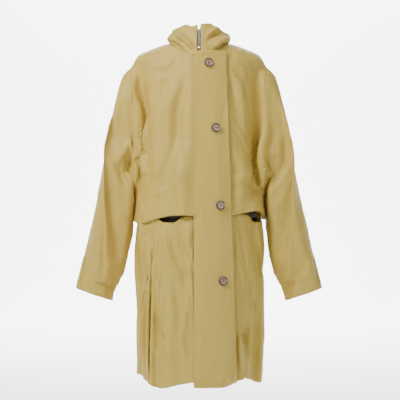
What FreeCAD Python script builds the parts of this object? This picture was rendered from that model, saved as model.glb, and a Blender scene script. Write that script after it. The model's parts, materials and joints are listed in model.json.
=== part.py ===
import FreeCAD, Part
import math
import os
import re

# A raincoat: a bodice that ends in a loose hem over a gathered skirt, batwing
# sleeves, a stand collar, and a zip under a buttoned placket.
# Millimetres. +Z up, front of the coat towards -Y, wearer's left towards +X.
# The origin is the centre of the neck opening, level with the top of the placket.

# ---------------------------------------------------------------- dimensions

GENERAL_SIZES = {
    # centre front: a straight line that leans forward towards the hem
    "front_at_seat": -72,
    "front_slope": 0.115,
    # cloth and the spaces between its layers, measured in from the outer surface
    "cloth": 1.6,
    "facing_inset": 2.2,
    "facing_thickness": 1,
    "seam_gap": 0.4,
    "side_seam": 10,
    # limits of the cutting regions, beyond the coat all round and below it
    "reach": 420,
    "below": 1000,
    "panel_front_edge": 6,
    # armholes in the bodice, the lining and the inner walls of the sleeves
    "armhole_top": -46,
    "armhole_bottom": -205,
    "armhole_front": -38,
    "armhole_back": 54,
    "armhole_inside": 140,
    "armhole_outside": 196,
    # collar
    "collar_cloth": 1.4,
    "collar_facing_inset": 2.2,
    "collar_facing_edge": 13,
    # flap hem, waist band and skirt
    "waist_band_height": 7.5,
    "waist_band_depth": 10.3,
    "waist_band_edge": 20,
    "flap_facing_height": 22,
    "skirt_inset": 4.2,
    "skirt_facing_inset": 6.4,
    "skirt_facing_height": 32,
    "facing_edge": 12,
    # linings
    "lining_inset": 13,
    "skirt_lining_inset": 14,
    "lining_edge": 22,
    "lining_bottom": -391,
    "skirt_lining_bottom": -870,
    # shoulder pads
    "pad_across": 124,
    "pad_level": -3,
    "pad_slope": 22,
    "pad_thickness": 9,
    "pad_length": 74,
    "pad_width": 70,
    # front placket: a standing strip with a return along its sewn edge
    "placket_lift": 8,
    "placket_top": -2,
    "placket_hem": -910,
    "placket_sewn_edge": -14,
    "placket_top_width": 75,
    "placket_hem_width": 104,
    "placket_return_gap": 0.4,
    "buttonhole_length": 30,
    "buttonhole_height": 4.2,
    # sewn buttons
    "button_radius": 13,
    "button_thickness": 4.4,
    "button_rim_width": 3.4,
    "button_recess": 1.1,
    "button_hole_radius": 1.1,
    "button_hole_spread": 2.9,
    "button_holes": 4,
    "button_lift": 2.2,
    "shank_radius": 1.4,
    "shank_gap": 0.5,
    "backing_radius": 6,
    "backing_thickness": 1.4,
    # zip, in the plane of the centre front
    "tape_inset": 2.9,
    "tape_thickness": 0.6,
    "tape_half_width": 10,
    "tape_top": 72,
    "zip_bottom": -860,
    "chain_inset": 1.9,
    "chain_thickness": 2.6,
    "chain_half_width": 3.4,
    "chain_spine": 1,
    "chain_slit": 0.7,
    "chain_gap": 0.1,
    "chain_top": 63,
    "chain_bottom": -848,
    "tooth_pitch": 6,
    "tooth_height": 1.5,
    "tooth_start": 0.75,
    "stop_height": 3,
    "zip_box_height": 11,
    "slider_bottom": 51.5,
    "slider_length": 11,
    "slider_half_width": 4.5,
    "slider_plate": 2,
    "slider_lip": 0.7,
    "slider_back_plate": 1.4,
    "slider_clearance": 0.4,
    "slider_web": 0.6,
    "slider_web_length": 3,
    "bail_half_width": 0.8,
    "bail_half_length": 3.2,
    "bail_thickness": 0.8,
    "pull_pivot_level": 57,
    "pull_thickness": 1.2,
    "pull_clearance": 0.5,
    "pull_half_width": 2.5,
    "pull_length": 33,
    "pull_window": 5.6,
    "pull_window_half_width": 1.3,
    # pockets
    "pocket_across": 148,
    "pocket_level": -640,
    "pocket_tilt": 13,
    "pocket_length": 150,
    "welt_width": 16,
    "welt_inset": 2.4,
    "welt_thickness": 1.4,
    "pocket_slit": 4,
    "bag_inset": 7,
    "bag_wall": 1,
    "bag_depth": 5,
    "bag_inner": 78,
    "bag_outer": 172,
    "bag_top": -560,
    "bag_bottom": -790,
    # sleeves
    "sleeve_middle": 5,
    "sleeve_seam_gap": 0.4,
    "sleeve_lining_inset": 5,
    "cuff_facing_top": -632,
    "vent_inset": 1.8,
    "vent_thickness": 1.3,
    "vent_half_width": 30,
    "vent_top": -566,
    "vent_bottom": -640,
    "vent_inside": 285,
    # hanger loop behind the neck
    "loop_width": 64,
    "loop_drop": 18,
    "loop_strip": 5,
    "loop_thickness": 1.2,
    "loop_top": 24,
    "loop_back": 46,
}

# station of the body: (level, half width, back)
BODY_STATIONS = {
    "rim": (80, 56, 49),
    "fold": (68, 78, 58),
    "roll": (52, 90, 68),
    "stand": (30.4, 84, 62),
    "neck": (30, 86, 64),
    "slope": (22, 114, 74),
    "tip": (0, 168, 84),
    "point": (-14, 189, 90),
    "arm": (-26, 176, 94),
    "chest": (-180, 172, 112),
    "ribs": (-300, 173, 119),
    "waist": (-400, 180, 126),
    "flap": (-462, 189, 133),
    "gather": (-400, 176, 122),
    "hip": (-560, 194, 138),
    "thigh": (-740, 200, 154),
    "hem": (-912, 208, 168),
}

# station of the sleeve: (distance out, level, breadth, depth, tilt in degrees)
SLEEVE_STATIONS = {
    "cap": (198, -23.5, 12.4, 60, 14),
    "top": (196, -54, 33, 104, 14),
    "bicep": (202.5, -99.5, 47.9, 140, 10.8),
    "underarm": (211.5, -181.5, 64.3, 162, 11.7),
    "drape": (224, -301, 82, 160, 12.7),
    "elbow": (239.5, -420, 96, 150, 14.5),
    "forearm": (262, -540.5, 106.6, 136, 16.9),
    "cuff": (293, -669.5, 111.6, 116, 18.3),
}

# button: (distance across, level, extra depth down to the cloth it is sewn to)
BUTTONS = {
    "first": (27, -30.5, 0),
    "second": (46, -210, 0),
    "third": (58, -422, 0),
    "fourth": (65, -626, 4.2),
}

COLLAR = ("stand", "roll", "fold", "rim")
BODICE = ("flap", "waist", "ribs", "chest", "arm", "point", "tip", "slope", "neck")
SKIRT = ("hem", "thigh", "hip", "gather")
PLACKET = ("hem", "flap", "chest", "tip")
SIDES = {"right": -1, "left": 1}

SIZES = dict(GENERAL_SIZES)
for station, (level, half_width, back) in BODY_STATIONS.items():
    SIZES[f"{station}_level"] = level
    SIZES[f"{station}_half_width"] = half_width
    SIZES[f"{station}_back"] = back
for station, (out, level, breadth, depth, tilt) in SLEEVE_STATIONS.items():
    SIZES[f"{station}_out"] = out
    SIZES[f"{station}_height"] = level
    SIZES[f"{station}_breadth"] = breadth
    SIZES[f"{station}_depth"] = depth
    SIZES[f"{station}_tilt"] = tilt
for button, (across, level, drop) in BUTTONS.items():
    SIZES[f"{button}_across"] = across
    SIZES[f"{button}_level"] = level
    SIZES[f"{button}_drop"] = drop

document = FreeCAD.newDocument("raincoat")
sheet = document.addObject("Spreadsheet::Sheet", "Sizes")
for row, (alias, number) in enumerate(SIZES.items(), start=1):
    sheet.set(f"A{row}", alias)
    sheet.set(f"B{row}", str(number))
    sheet.setAlias(f"B{row}", alias)
document.recompute()

X_AXIS = FreeCAD.Vector(1, 0, 0)
Y_AXIS = FreeCAD.Vector(0, 1, 0)
Z_AXIS = FreeCAD.Vector(0, 0, 1)
FULL_TURN = 360
# spacing of the points that give the slope of a surface
PROBE_STEP = 2

# ------------------------------------------------------------------- helpers

nodes = []


def size(alias):
    """The number in the cell with this alias."""
    return float(sheet.get(alias))


def formula(text):
    """The text with every size name pointed at its cell."""

    def cell(match):
        word = match.group()
        return f"Sizes.{word}" if word in SIZES else word

    return re.sub(r"[a-z][a-z_]*", cell, str(text))


def bind(item, expressions):
    """Bind each property to a formula of size names."""
    for name, text in expressions.items():
        item.setExpression(name, formula(text))
    return item


def finish(item, label):
    """Mark an object as one physical piece of the coat."""
    item.Label = label
    nodes.append(item)
    return item


def region(name, x, y, z):
    """A box between three pairs of limits."""
    box = document.addObject("Part::Box", name)
    limits = {"x": x, "y": y, "z": z}
    for side, axis in (("Length", "x"), ("Width", "y"), ("Height", "z")):
        low, high = limits[axis]
        bind(box, {side: f"({high}) - ({low})", f"Placement.Base.{axis}": low})
    return box


def boolean(kind, name, base, tool):
    """A Part::Cut or Part::Common of two objects."""
    result = document.addObject(f"Part::{kind}", name)
    result.Base = base
    result.Tool = tool
    return result


def united(name, shapes):
    """Several objects fused into one."""
    result = document.addObject("Part::MultiFuse", name)
    result.Shapes = shapes
    return result


def side_limits(side, inner, outer):
    """Limits across the coat, on the wearer's right (-X) or left (+X)."""
    if side == "right":
        return f"-({outer})", f"-({inner})"
    return inner, outer


def body_ring(name, station, inset):
    """Elliptical section through the body, set in from the outer surface."""
    ring = document.addObject("Part::Ellipse", name)
    front = f"(front_at_seat + front_slope * {station}_level)"
    bind(
        ring,
        {
            "MajorRadius": f"{station}_half_width - ({inset})",
            "MinorRadius": f"({station}_back - {front}) / 2 - ({inset})",
            "Placement.Base.y": f"({station}_back + {front}) / 2",
            "Placement.Base.z": f"{station}_level",
        },
    )
    return ring


def sleeve_ring(name, station, side, inset):
    """Elliptical section through a sleeve, square to the arm."""
    ring = document.addObject("Part::Ellipse", name)
    bind(
        ring,
        {
            "MajorRadius": f"{station}_depth / 2 - ({inset})",
            "MinorRadius": f"{station}_breadth / 2 - ({inset})",
        },
    )
    sign = SIDES[side]
    tilt = FreeCAD.Rotation(Y_AXIS, -sign * size(f"{station}_tilt"))
    quarter_turn = FreeCAD.Rotation(Z_AXIS, 90)
    ring.Placement = FreeCAD.Placement(FreeCAD.Vector(), tilt.multiply(quarter_turn))
    bind(
        ring,
        {
            "Placement.Base.x": f"{sign} * {station}_out",
            "Placement.Base.y": "sleeve_middle",
            "Placement.Base.z": f"{station}_height",
        },
    )
    return ring


def loft(name, rings):
    """A solid through the rings, straight between one ring and the next."""
    solid = document.addObject("Part::Loft", name)
    solid.Sections = rings
    solid.Solid = True
    solid.Ruled = True
    return solid


def body_solid(name, stations, inset):
    rings = [body_ring(f"{name}_{station}", station, inset) for station in stations]
    return loft(name, rings)


def body_shell(name, stations, inset, thickness):
    """A layer of cloth round the body, open at both ends."""
    outside = body_solid(f"{name}_outside", stations, inset)
    inside = body_solid(f"{name}_inside", stations, f"{inset} + {thickness}")
    return boolean("Cut", name, outside, inside)


def sleeve_shell(name, stations, side, inset, thickness):
    """A layer of cloth round the arm, open at both ends."""
    solids = []
    for part, depth in (("outside", inset), ("inside", f"{inset} + {thickness}")):
        rings = [sleeve_ring(f"{name}_{part}_{station}", station, side, depth) for station in stations]
        solids.append(loft(f"{name}_{part}", rings))
    return boolean("Cut", name, solids[0], solids[1])


def front_gap(name, edge):
    """The open stretch at the centre front of a layer."""
    return region(name, (f"-({edge})", edge), ("-reach", 0), ("-below", "reach"))


def armhole(name, side):
    return region(
        name,
        side_limits(side, "armhole_inside", "armhole_outside"),
        ("armhole_front", "armhole_back"),
        ("armhole_bottom", "armhole_top"),
    )


def with_armholes(name, shell):
    """The shell with both armholes cut in it."""
    holes = united(f"{name}_armholes", [armhole(f"{name}_{side}_armhole", side) for side in SIDES])
    return boolean("Cut", f"{name}_with_armholes", shell, holes)


def back_panel(name, shell, low, high):
    half = region(f"{name}_half", ("-reach", "reach"), ("side_seam", "reach"), (low, high))
    return boolean("Common", name, shell, half)


def front_panel(name, shell, side, edge, low, high):
    half = region(
        f"{name}_half",
        side_limits(side, edge, "reach"),
        ("-reach", "side_seam - seam_gap"),
        (low, high),
    )
    return boolean("Common", name, shell, half)


# -------------------------------------------------------------------- bodice

bodice = with_armholes("bodice", body_shell("bodice_cloth", BODICE, 0, "cloth"))
finish(back_panel("bodice_back_panel", bodice, "-below", "reach"), "bodice_back")
for side in SIDES:
    panel = front_panel(f"bodice_{side}_panel", bodice, side, "panel_front_edge", "-below", "reach")
    finish(panel, f"bodice_front_{side}")

# turned-up hem of the loose flap
flap_facing_ring = body_shell("flap_facing_ring", ("flap", "waist"), "facing_inset", "facing_thickness")
flap_facing_band = region(
    "flap_facing_band",
    ("-reach", "reach"),
    ("-reach", "reach"),
    ("flap_level", "flap_level + flap_facing_height"),
)
flap_facing = boolean("Common", "flap_facing_closed", flap_facing_ring, flap_facing_band)
flap_facing_gap = front_gap("flap_facing_gap", "facing_edge")
finish(boolean("Cut", "flap_facing", flap_facing, flap_facing_gap), "bodice_hem_facing")

# band that joins the skirt to the inside of the bodice
waist_ring = body_shell("waist_ring", ("waist", "ribs"), "facing_inset", "waist_band_depth")
waist_slice = region(
    "waist_slice",
    ("-reach", "reach"),
    ("-reach", "reach"),
    ("waist_level + seam_gap", "waist_level + waist_band_height"),
)
waist_closed = boolean("Common", "waist_closed", waist_ring, waist_slice)
waist_gap = front_gap("waist_gap", "waist_band_edge")
finish(boolean("Cut", "waist", waist_closed, waist_gap), "waist_band")

# shoulder pads, under the slope of each shoulder
for side, sign in SIDES.items():
    pad = document.addObject("Part::Ellipsoid", f"pad_{side}")
    bind(pad, {"Radius1": "pad_thickness / 2", "Radius2": "pad_length / 2", "Radius3": "pad_width / 2"})
    pad.Placement.Rotation = FreeCAD.Rotation(Y_AXIS, sign * size("pad_slope"))
    bind(
        pad,
        {
            "Placement.Base.x": f"{sign} * pad_across",
            "Placement.Base.y": "sleeve_middle",
            "Placement.Base.z": "pad_level",
        },
    )
    finish(pad, f"shoulder_pad_{side}")

# --------------------------------------------------------------------- skirt

skirt = body_shell("skirt_cloth", SKIRT, "skirt_inset", "cloth")
finish(back_panel("skirt_back_panel", skirt, "-below", "reach"), "skirt_back")


def pocket_prism(name, side, width, length):
    """A slanted prism through the front of the skirt, along a pocket mouth."""
    sign = SIDES[side]
    prism = document.addObject("Part::Box", name)
    bind(prism, {"Length": width, "Width": "reach", "Height": length})
    slant = FreeCAD.Rotation(Y_AXIS, -sign * size("pocket_tilt"))
    corner = slant.multVec(FreeCAD.Vector(-size(width) / 2, 0, -size(length) / 2))
    corner += FreeCAD.Vector(sign * size("pocket_across"), -size("reach"), size("pocket_level"))
    prism.Placement = FreeCAD.Placement(corner, slant)
    return prism


welt_layer = body_shell("welt_layer", SKIRT, "welt_inset", "welt_thickness")
bag_layer = body_shell("bag_layer", SKIRT, "bag_inset", "bag_depth")
bag_hollow = body_shell("bag_hollow", SKIRT, "bag_inset + bag_wall", "bag_depth - 2 * bag_wall")
for side in SIDES:
    slit = pocket_prism(f"pocket_slit_{side}", side, "pocket_slit", "pocket_length")
    panel = front_panel(f"skirt_{side}_whole", skirt, side, "panel_front_edge", "-below", "reach")
    finish(boolean("Cut", f"skirt_{side}_panel", panel, slit), f"skirt_front_{side}")

    welt_outline = pocket_prism(f"welt_outline_{side}", side, "welt_width", "pocket_length")
    welt = boolean("Common", f"welt_{side}_whole", welt_layer, welt_outline)
    finish(boolean("Cut", f"welt_{side}", welt, slit), f"pocket_welt_{side}")

    bag_outline = region(
        f"bag_outline_{side}",
        side_limits(side, "bag_inner", "bag_outer"),
        ("-reach", 0),
        ("bag_bottom", "bag_top"),
    )
    hollow_outline = region(
        f"bag_hollow_outline_{side}",
        side_limits(side, "bag_inner + bag_wall", "bag_outer - bag_wall"),
        ("-reach", 0),
        ("bag_bottom + bag_wall", "bag_top - bag_wall"),
    )
    bag = boolean("Common", f"bag_{side}_block", bag_layer, bag_outline)
    hollow = boolean("Common", f"bag_{side}_hollow", bag_hollow, hollow_outline)
    pouch = boolean("Cut", f"bag_{side}_pouch", bag, hollow)
    mouth_depth = "bag_inset + bag_wall + bag_depth / 2"
    mouth_layer = body_shell(f"bag_mouth_layer_{side}", SKIRT, 0, mouth_depth)
    mouth = boolean("Common", f"bag_mouth_{side}", mouth_layer, slit)
    finish(boolean("Cut", f"bag_{side}", pouch, mouth), f"pocket_bag_{side}")

skirt_facing_ring = body_shell(
    "skirt_facing_ring", ("hem", "thigh"), "skirt_facing_inset", "facing_thickness"
)
skirt_facing_band = region(
    "skirt_facing_band",
    ("-reach", "reach"),
    ("-reach", "reach"),
    ("hem_level", "hem_level + skirt_facing_height"),
)
skirt_facing = boolean("Common", "skirt_facing_closed", skirt_facing_ring, skirt_facing_band)
skirt_facing_gap = front_gap("skirt_facing_gap", "facing_edge")
finish(boolean("Cut", "skirt_facing", skirt_facing, skirt_facing_gap), "skirt_hem_facing")

# ------------------------------------------------------------------- linings

lining = with_armholes("lining", body_shell("lining_cloth", BODICE, "lining_inset", "facing_thickness"))
finish(back_panel("lining_back_panel", lining, "lining_bottom", "reach"), "lining_back")
skirt_lining = body_shell("skirt_lining_cloth", SKIRT, "skirt_lining_inset", "facing_thickness")
skirt_lining_panel = back_panel("skirt_lining_back_panel", skirt_lining, "skirt_lining_bottom", "reach")
finish(skirt_lining_panel, "skirt_lining_back")
for side in SIDES:
    panel = front_panel(f"lining_{side}_panel", lining, side, "lining_edge", "lining_bottom", "reach")
    finish(panel, f"lining_front_{side}")
    panel = front_panel(
        f"skirt_lining_{side}_panel", skirt_lining, side, "lining_edge", "skirt_lining_bottom", "reach"
    )
    finish(panel, f"skirt_lining_front_{side}")

# -------------------------------------------------------------------- collar

collar = body_shell("collar_cloth_ring", COLLAR, 0, "collar_cloth")
collar_gap = front_gap("collar_gap", "panel_front_edge")
finish(boolean("Cut", "collar", collar, collar_gap), "collar_outer")
collar_facing = body_shell("collar_facing_ring", COLLAR, "collar_facing_inset", "facing_thickness")
collar_facing_gap = front_gap("collar_facing_gap", "collar_facing_edge")
finish(boolean("Cut", "collar_inner", collar_facing, collar_facing_gap), "collar_facing")

# ------------------------------------------------------------------- sleeves

ARM = tuple(SLEEVE_STATIONS)
for side in SIDES:
    hole = armhole(f"sleeve_{side}_hole", side)
    tube = sleeve_shell(f"sleeve_{side}_tube", ARM, side, 0, "cloth")
    sleeve = boolean("Cut", f"sleeve_{side}", tube, hole)
    front = region(
        f"sleeve_{side}_front_half",
        ("-reach", "reach"),
        ("-reach", "sleeve_middle - sleeve_seam_gap / 2"),
        ("-below", "reach"),
    )
    back = region(
        f"sleeve_{side}_back_half",
        ("-reach", "reach"),
        ("sleeve_middle + sleeve_seam_gap / 2", "reach"),
        ("-below", "reach"),
    )
    finish(boolean("Common", f"sleeve_{side}_front", sleeve, front), f"sleeve_front_{side}")
    finish(boolean("Common", f"sleeve_{side}_back", sleeve, back), f"sleeve_back_{side}")

    inner_tube = sleeve_shell(
        f"sleeve_{side}_inner", ARM[1:], side, "sleeve_lining_inset", "facing_thickness"
    )
    inner_hole = armhole(f"sleeve_{side}_inner_hole", side)
    finish(boolean("Cut", f"sleeve_{side}_lining", inner_tube, inner_hole), f"sleeve_lining_{side}")

    wrist = ("forearm", "cuff")
    turn_up = sleeve_shell(f"cuff_{side}_tube", wrist, side, "facing_inset", "facing_thickness")
    cuff_band = region(
        f"cuff_{side}_band", ("-reach", "reach"), ("-reach", "reach"), ("-below", "cuff_facing_top")
    )
    finish(boolean("Common", f"cuff_{side}", turn_up, cuff_band), f"cuff_facing_{side}")

    overlap = sleeve_shell(f"vent_{side}_tube", wrist, side, "-vent_inset", "vent_thickness")
    vent_block = region(
        f"vent_{side}_block",
        side_limits(side, "vent_inside", "reach"),
        ("sleeve_middle - vent_half_width", "sleeve_middle + vent_half_width"),
        ("vent_bottom", "vent_top"),
    )
    finish(boolean("Common", f"vent_{side}", overlap, vent_block), f"sleeve_vent_{side}")

# ------------------------------------------------------------------- placket


def placket_outline(name, sewn_edge, top_edge, hem_edge):
    """A prism through the front of the coat, between its sewn edge and a slanting free edge."""
    hem = size("placket_hem")
    top = size("placket_top")
    outline = document.addObject("Part::Polygon", f"{name}_edge")
    outline.Nodes = [
        FreeCAD.Vector(sewn_edge, 0, hem),
        FreeCAD.Vector(hem_edge, 0, hem),
        FreeCAD.Vector(top_edge, 0, top),
        FreeCAD.Vector(sewn_edge, 0, top),
    ]
    outline.Close = True
    prism = document.addObject("Part::Extrusion", name)
    prism.Base = outline
    prism.DirMode = "Custom"
    prism.Dir = -Y_AXIS
    prism.Solid = True
    bind(prism, {"LengthFwd": "reach"})
    return prism


placket_layer = body_shell("placket_layer", PLACKET, "-placket_lift - cloth", "cloth")
return_layer = body_shell(
    "placket_return_layer",
    PLACKET,
    "-placket_lift - cloth / 2",
    "placket_lift + cloth / 2 - placket_return_gap",
)
sewn_edge = size("placket_sewn_edge")
return_edge = sewn_edge + size("cloth")
strip = placket_outline(
    "placket_strip_outline", sewn_edge, size("placket_top_width"), size("placket_hem_width")
)
edge = placket_outline("placket_return_outline", sewn_edge, return_edge, return_edge)
placket_strip = boolean("Common", "placket_strip", placket_layer, strip)
placket_return = boolean("Common", "placket_return", return_layer, edge)
placket = united("placket_whole", [placket_strip, placket_return])

buttonholes = []
for button in BUTTONS:
    hole = region(
        f"buttonhole_{button}",
        (f"{button}_across - buttonhole_length / 2", f"{button}_across + buttonhole_length / 2"),
        ("-reach", 0),
        (f"{button}_level - buttonhole_height / 2", f"{button}_level + buttonhole_height / 2"),
    )
    buttonholes.append(hole)
finish(boolean("Cut", "placket", placket, united("buttonholes", buttonholes)), "front_placket")

# ------------------------------------------------------------------- buttons

document.recompute()


def surface_depth(shape, across, level):
    """How far forward the shape reaches on a line running back through it."""
    start = FreeCAD.Vector(across, -size("reach"), level)
    line = Part.makeLine(start, FreeCAD.Vector(across, 0, level))
    return min(vertex.Y for vertex in shape.common(line).Vertexes)


def surface_place(shape, across, level):
    """A point on the front of the shape and the outward direction there."""
    point = FreeCAD.Vector(across, surface_depth(shape, across, level), level)
    aside = across + PROBE_STEP
    above = level + PROBE_STEP
    sideways = FreeCAD.Vector(aside, surface_depth(shape, aside, level), level) - point
    upwards = FreeCAD.Vector(across, surface_depth(shape, across, above), above) - point
    return point, sideways.cross(upwards).normalize()


def origin_item(body, role):
    return next(item for item in body.Origin.OriginFeatures if item.Role == role)


def button_body(name):
    """A round button with a raised rim and four sewing holes, facing its own +Z."""
    body = document.addObject("PartDesign::Body", name)
    disc = body.newObject("PartDesign::AdditiveCylinder", f"{name}_disc")
    bind(disc, {"Radius": "button_radius", "Height": "button_thickness"})
    dish = body.newObject("PartDesign::SubtractiveCylinder", f"{name}_dish")
    bind(
        dish,
        {
            "Radius": "button_radius - button_rim_width",
            "Height": "button_thickness",
            "Placement.Base.z": "button_thickness - button_recess",
        },
    )
    hole = body.newObject("PartDesign::SubtractiveCylinder", f"{name}_hole")
    bind(
        hole,
        {
            "Radius": "button_hole_radius",
            "Height": "button_thickness",
            "Placement.Base.x": "button_hole_spread",
        },
    )
    document.recompute()
    holes = body.newObject("PartDesign::PolarPattern", f"{name}_holes")
    holes.Originals = [hole]
    holes.Axis = (origin_item(body, "Z_Axis"), [""])
    holes.Angle = FULL_TURN
    bind(holes, {"Occurrences": "button_holes"})
    body.Tip = holes
    document.recompute()
    edges = enumerate(holes.Shape.Edges, start=1)
    rounded = [f"Edge{index}" for index, edge in edges if is_rim(edge)]
    fillet = body.newObject("PartDesign::Fillet", f"{name}_round")
    fillet.Base = (holes, rounded)
    bind(fillet, {"Radius": "button_recess"})
    body.Tip = fillet
    return body


def is_rim(edge):
    """True for the circles round the outside of a button."""
    return hasattr(edge.Curve, "Radius") and math.isclose(edge.Curve.Radius, size("button_radius"))


def cylinder(name, radius, height, place):
    peg = document.addObject("Part::Cylinder", name)
    peg.Placement = place
    bind(peg, {"Radius": radius, "Height": height})
    return peg


shanks = []
backings = []
for number, button in enumerate(BUTTONS, start=1):
    point, outward = surface_place(placket_strip.Shape, size(f"{button}_across"), size(f"{button}_level"))
    turn = FreeCAD.Rotation(Z_AXIS, outward)
    body = button_body(f"{button}_button")
    body.Placement = FreeCAD.Placement(point + outward * size("button_lift"), turn)
    finish(body, f"button_{number}")

    depth = size("placket_lift") + size("cloth") + size(f"{button}_drop")
    shank_place = FreeCAD.Placement(point - outward * (depth - size("shank_gap")), turn)
    height = f"placket_lift + cloth + {button}_drop + button_lift - 2 * shank_gap"
    shanks.append(cylinder(f"{button}_shank", "shank_radius", height, shank_place))

    inside = depth + size("cloth") + size("seam_gap") + size("backing_thickness")
    backing_place = FreeCAD.Placement(point - outward * inside, turn)
    backings.append(cylinder(f"{button}_backing", "backing_radius", "backing_thickness", backing_place))
finish(united("shanks", shanks), "button_thread_shanks")
finish(united("backings", backings), "backing_buttons")

# ----------------------------------------------------------------------- zip

# The zip has a frame of its own: X across, Y into the coat, Z up the centre front.
LEAN = FreeCAD.Rotation(X_AXIS, -math.degrees(math.atan(size("front_slope"))))
LEAN_COSINE = "(1 / sqrt(1 + front_slope * front_slope))"
LEAN_SINE = f"(front_slope * {LEAN_COSINE})"


def lean_place(item, x, y, z):
    """Place an object at a point of the zip's own frame."""
    item.Placement.Rotation = LEAN
    places = {
        "Placement.Base.x": x,
        "Placement.Base.y": f"front_at_seat + ({y}) * {LEAN_COSINE} + ({z}) * {LEAN_SINE}",
        "Placement.Base.z": f"({z}) * {LEAN_COSINE} - ({y}) * {LEAN_SINE}",
    }
    return bind(item, places)


def zip_block(name, x, y, z):
    """A box between three pairs of limits in the zip's own frame."""
    box = document.addObject("Part::Box", name)
    for side, (low, high) in (("Length", x), ("Width", y), ("Height", z)):
        bind(box, {side: f"({high}) - ({low})"})
    return lean_place(box, x[0], y[0], z[0])


def tooth_comb(name, side):
    """One half of the chain: a spine with teeth, the two halves half a pitch apart."""
    sign = SIDES[side]
    spine = size("chain_half_width")
    root = spine - size("chain_spine")
    tip = size("chain_slit")
    pitch = size("tooth_pitch")
    length = size("chain_top") - size("chain_bottom")
    offset = pitch / 2 if side == "left" else 0
    points = [(spine, 0), (root, 0)]
    for tooth in range(int((length - pitch) / pitch)):
        start = offset + tooth * pitch + size("tooth_start")
        end = start + size("tooth_height")
        points += [(root, start), (tip, start), (tip, end), (root, end)]
    points += [(root, length), (spine, length)]
    outline = document.addObject("Part::Polygon", f"{name}_edge")
    outline.Nodes = [FreeCAD.Vector(sign * across, 0, along) for across, along in points]
    outline.Close = True
    comb = document.addObject("Part::Extrusion", name)
    comb.Base = outline
    comb.DirMode = "Custom"
    comb.Dir = Y_AXIS
    comb.Solid = True
    bind(comb, {"LengthFwd": "chain_thickness"})
    return lean_place(comb, 0, "chain_inset", "chain_bottom")


CHAIN_DEPTH = ("chain_inset", "chain_inset + chain_thickness")
for side in SIDES:
    tape = zip_block(
        f"tape_{side}",
        side_limits(side, "chain_half_width + chain_gap", "tape_half_width"),
        ("tape_inset", "tape_inset + tape_thickness"),
        ("zip_bottom", "tape_top"),
    )
    finish(tape, f"zip_tape_{side}")
    stop = zip_block(
        f"stop_{side}",
        side_limits(side, "chain_slit", "chain_half_width"),
        CHAIN_DEPTH,
        ("chain_top + seam_gap", "chain_top + seam_gap + stop_height"),
    )
    finish(stop, f"zip_top_stop_{side}")
    finish(tooth_comb(f"comb_{side}", side), f"zip_teeth_{side}")
zip_box = zip_block(
    "zip_end",
    ("-chain_half_width", "chain_half_width"),
    CHAIN_DEPTH,
    ("chain_bottom - seam_gap - zip_box_height", "chain_bottom - seam_gap"),
)
finish(zip_box, "zip_retaining_box")

# slider: two plates round the chain, joined by a web that runs in the slit between the teeth
PLATE_BACK = "chain_inset - slider_clearance"
PLATE_FRONT = f"{PLATE_BACK} - slider_plate"
BACK_PLATE = "chain_inset + chain_thickness + slider_clearance"
SLIDER_TOP = "slider_bottom + slider_length"
SLIDER_ENDS = ("slider_bottom", SLIDER_TOP)
HALF_WIDTH = ("-slider_half_width", "slider_half_width")
BAIL_WIDTH = ("-bail_half_width", "bail_half_width")
PIVOT_DEPTH = f"{PLATE_FRONT} - pull_clearance - pull_thickness / 2"
BAIL_FRONT = f"{PIVOT_DEPTH} - pull_thickness / 2 - pull_clearance"
BAIL_TOP = f"{BAIL_FRONT} - bail_thickness"
slider_blocks = [
    zip_block("slider_front", HALF_WIDTH, (PLATE_FRONT, PLATE_BACK), SLIDER_ENDS),
    zip_block("slider_back", HALF_WIDTH, (BACK_PLATE, f"{BACK_PLATE} + slider_back_plate"), SLIDER_ENDS),
    zip_block(
        "slider_web_block",
        ("-slider_web / 2", "slider_web / 2"),
        (PLATE_FRONT, f"{BACK_PLATE} + slider_back_plate"),
        (f"{SLIDER_TOP} - slider_web_length", SLIDER_TOP),
    ),
    zip_block(
        "bail_bar",
        BAIL_WIDTH,
        (BAIL_TOP, BAIL_FRONT),
        ("pull_pivot_level - bail_half_length", "pull_pivot_level + bail_half_length"),
    ),
]
for side in SIDES:
    lip_limits = side_limits(side, "slider_half_width - slider_lip", "slider_half_width")
    lip_depth = (PLATE_FRONT, "tape_inset - slider_clearance")
    slider_blocks.append(zip_block(f"slider_lip_{side}", lip_limits, lip_depth, SLIDER_ENDS))
POST_LIMITS = {
    "upper": ("pull_pivot_level + bail_half_length - bail_thickness", "pull_pivot_level + bail_half_length"),
    "lower": ("pull_pivot_level - bail_half_length", "pull_pivot_level - bail_half_length + bail_thickness"),
}
for end, limits in POST_LIMITS.items():
    slider_blocks.append(zip_block(f"bail_post_{end}", BAIL_WIDTH, (BAIL_TOP, PLATE_BACK), limits))
finish(united("slider", slider_blocks), "zip_slider")

# pull: a long bar whose window leaves a crosspiece under the slider's bail
pull = document.addObject("PartDesign::Body", "pull")
bar = pull.newObject("PartDesign::AdditiveBox", "pull_bar")
bind(bar, {"Length": "2 * pull_half_width", "Width": "pull_thickness", "Height": "pull_length"})
window = pull.newObject("PartDesign::SubtractiveBox", "pull_window_cut")
bind(
    window,
    {
        "Length": "2 * pull_window_half_width",
        "Width": "pull_thickness",
        "Height": "pull_window",
        "Placement.Base.x": "pull_half_width - pull_window_half_width",
        "Placement.Base.z": "pull_length - pull_thickness - pull_window",
    },
)
pull_top = "pull_pivot_level + pull_thickness / 2"
lean_place(pull, "-pull_half_width", f"{PIVOT_DEPTH} - pull_thickness / 2", f"{pull_top} - pull_length")
finish(pull, "zip_pull")

# --------------------------------------------------------------- hanger loop

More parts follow.
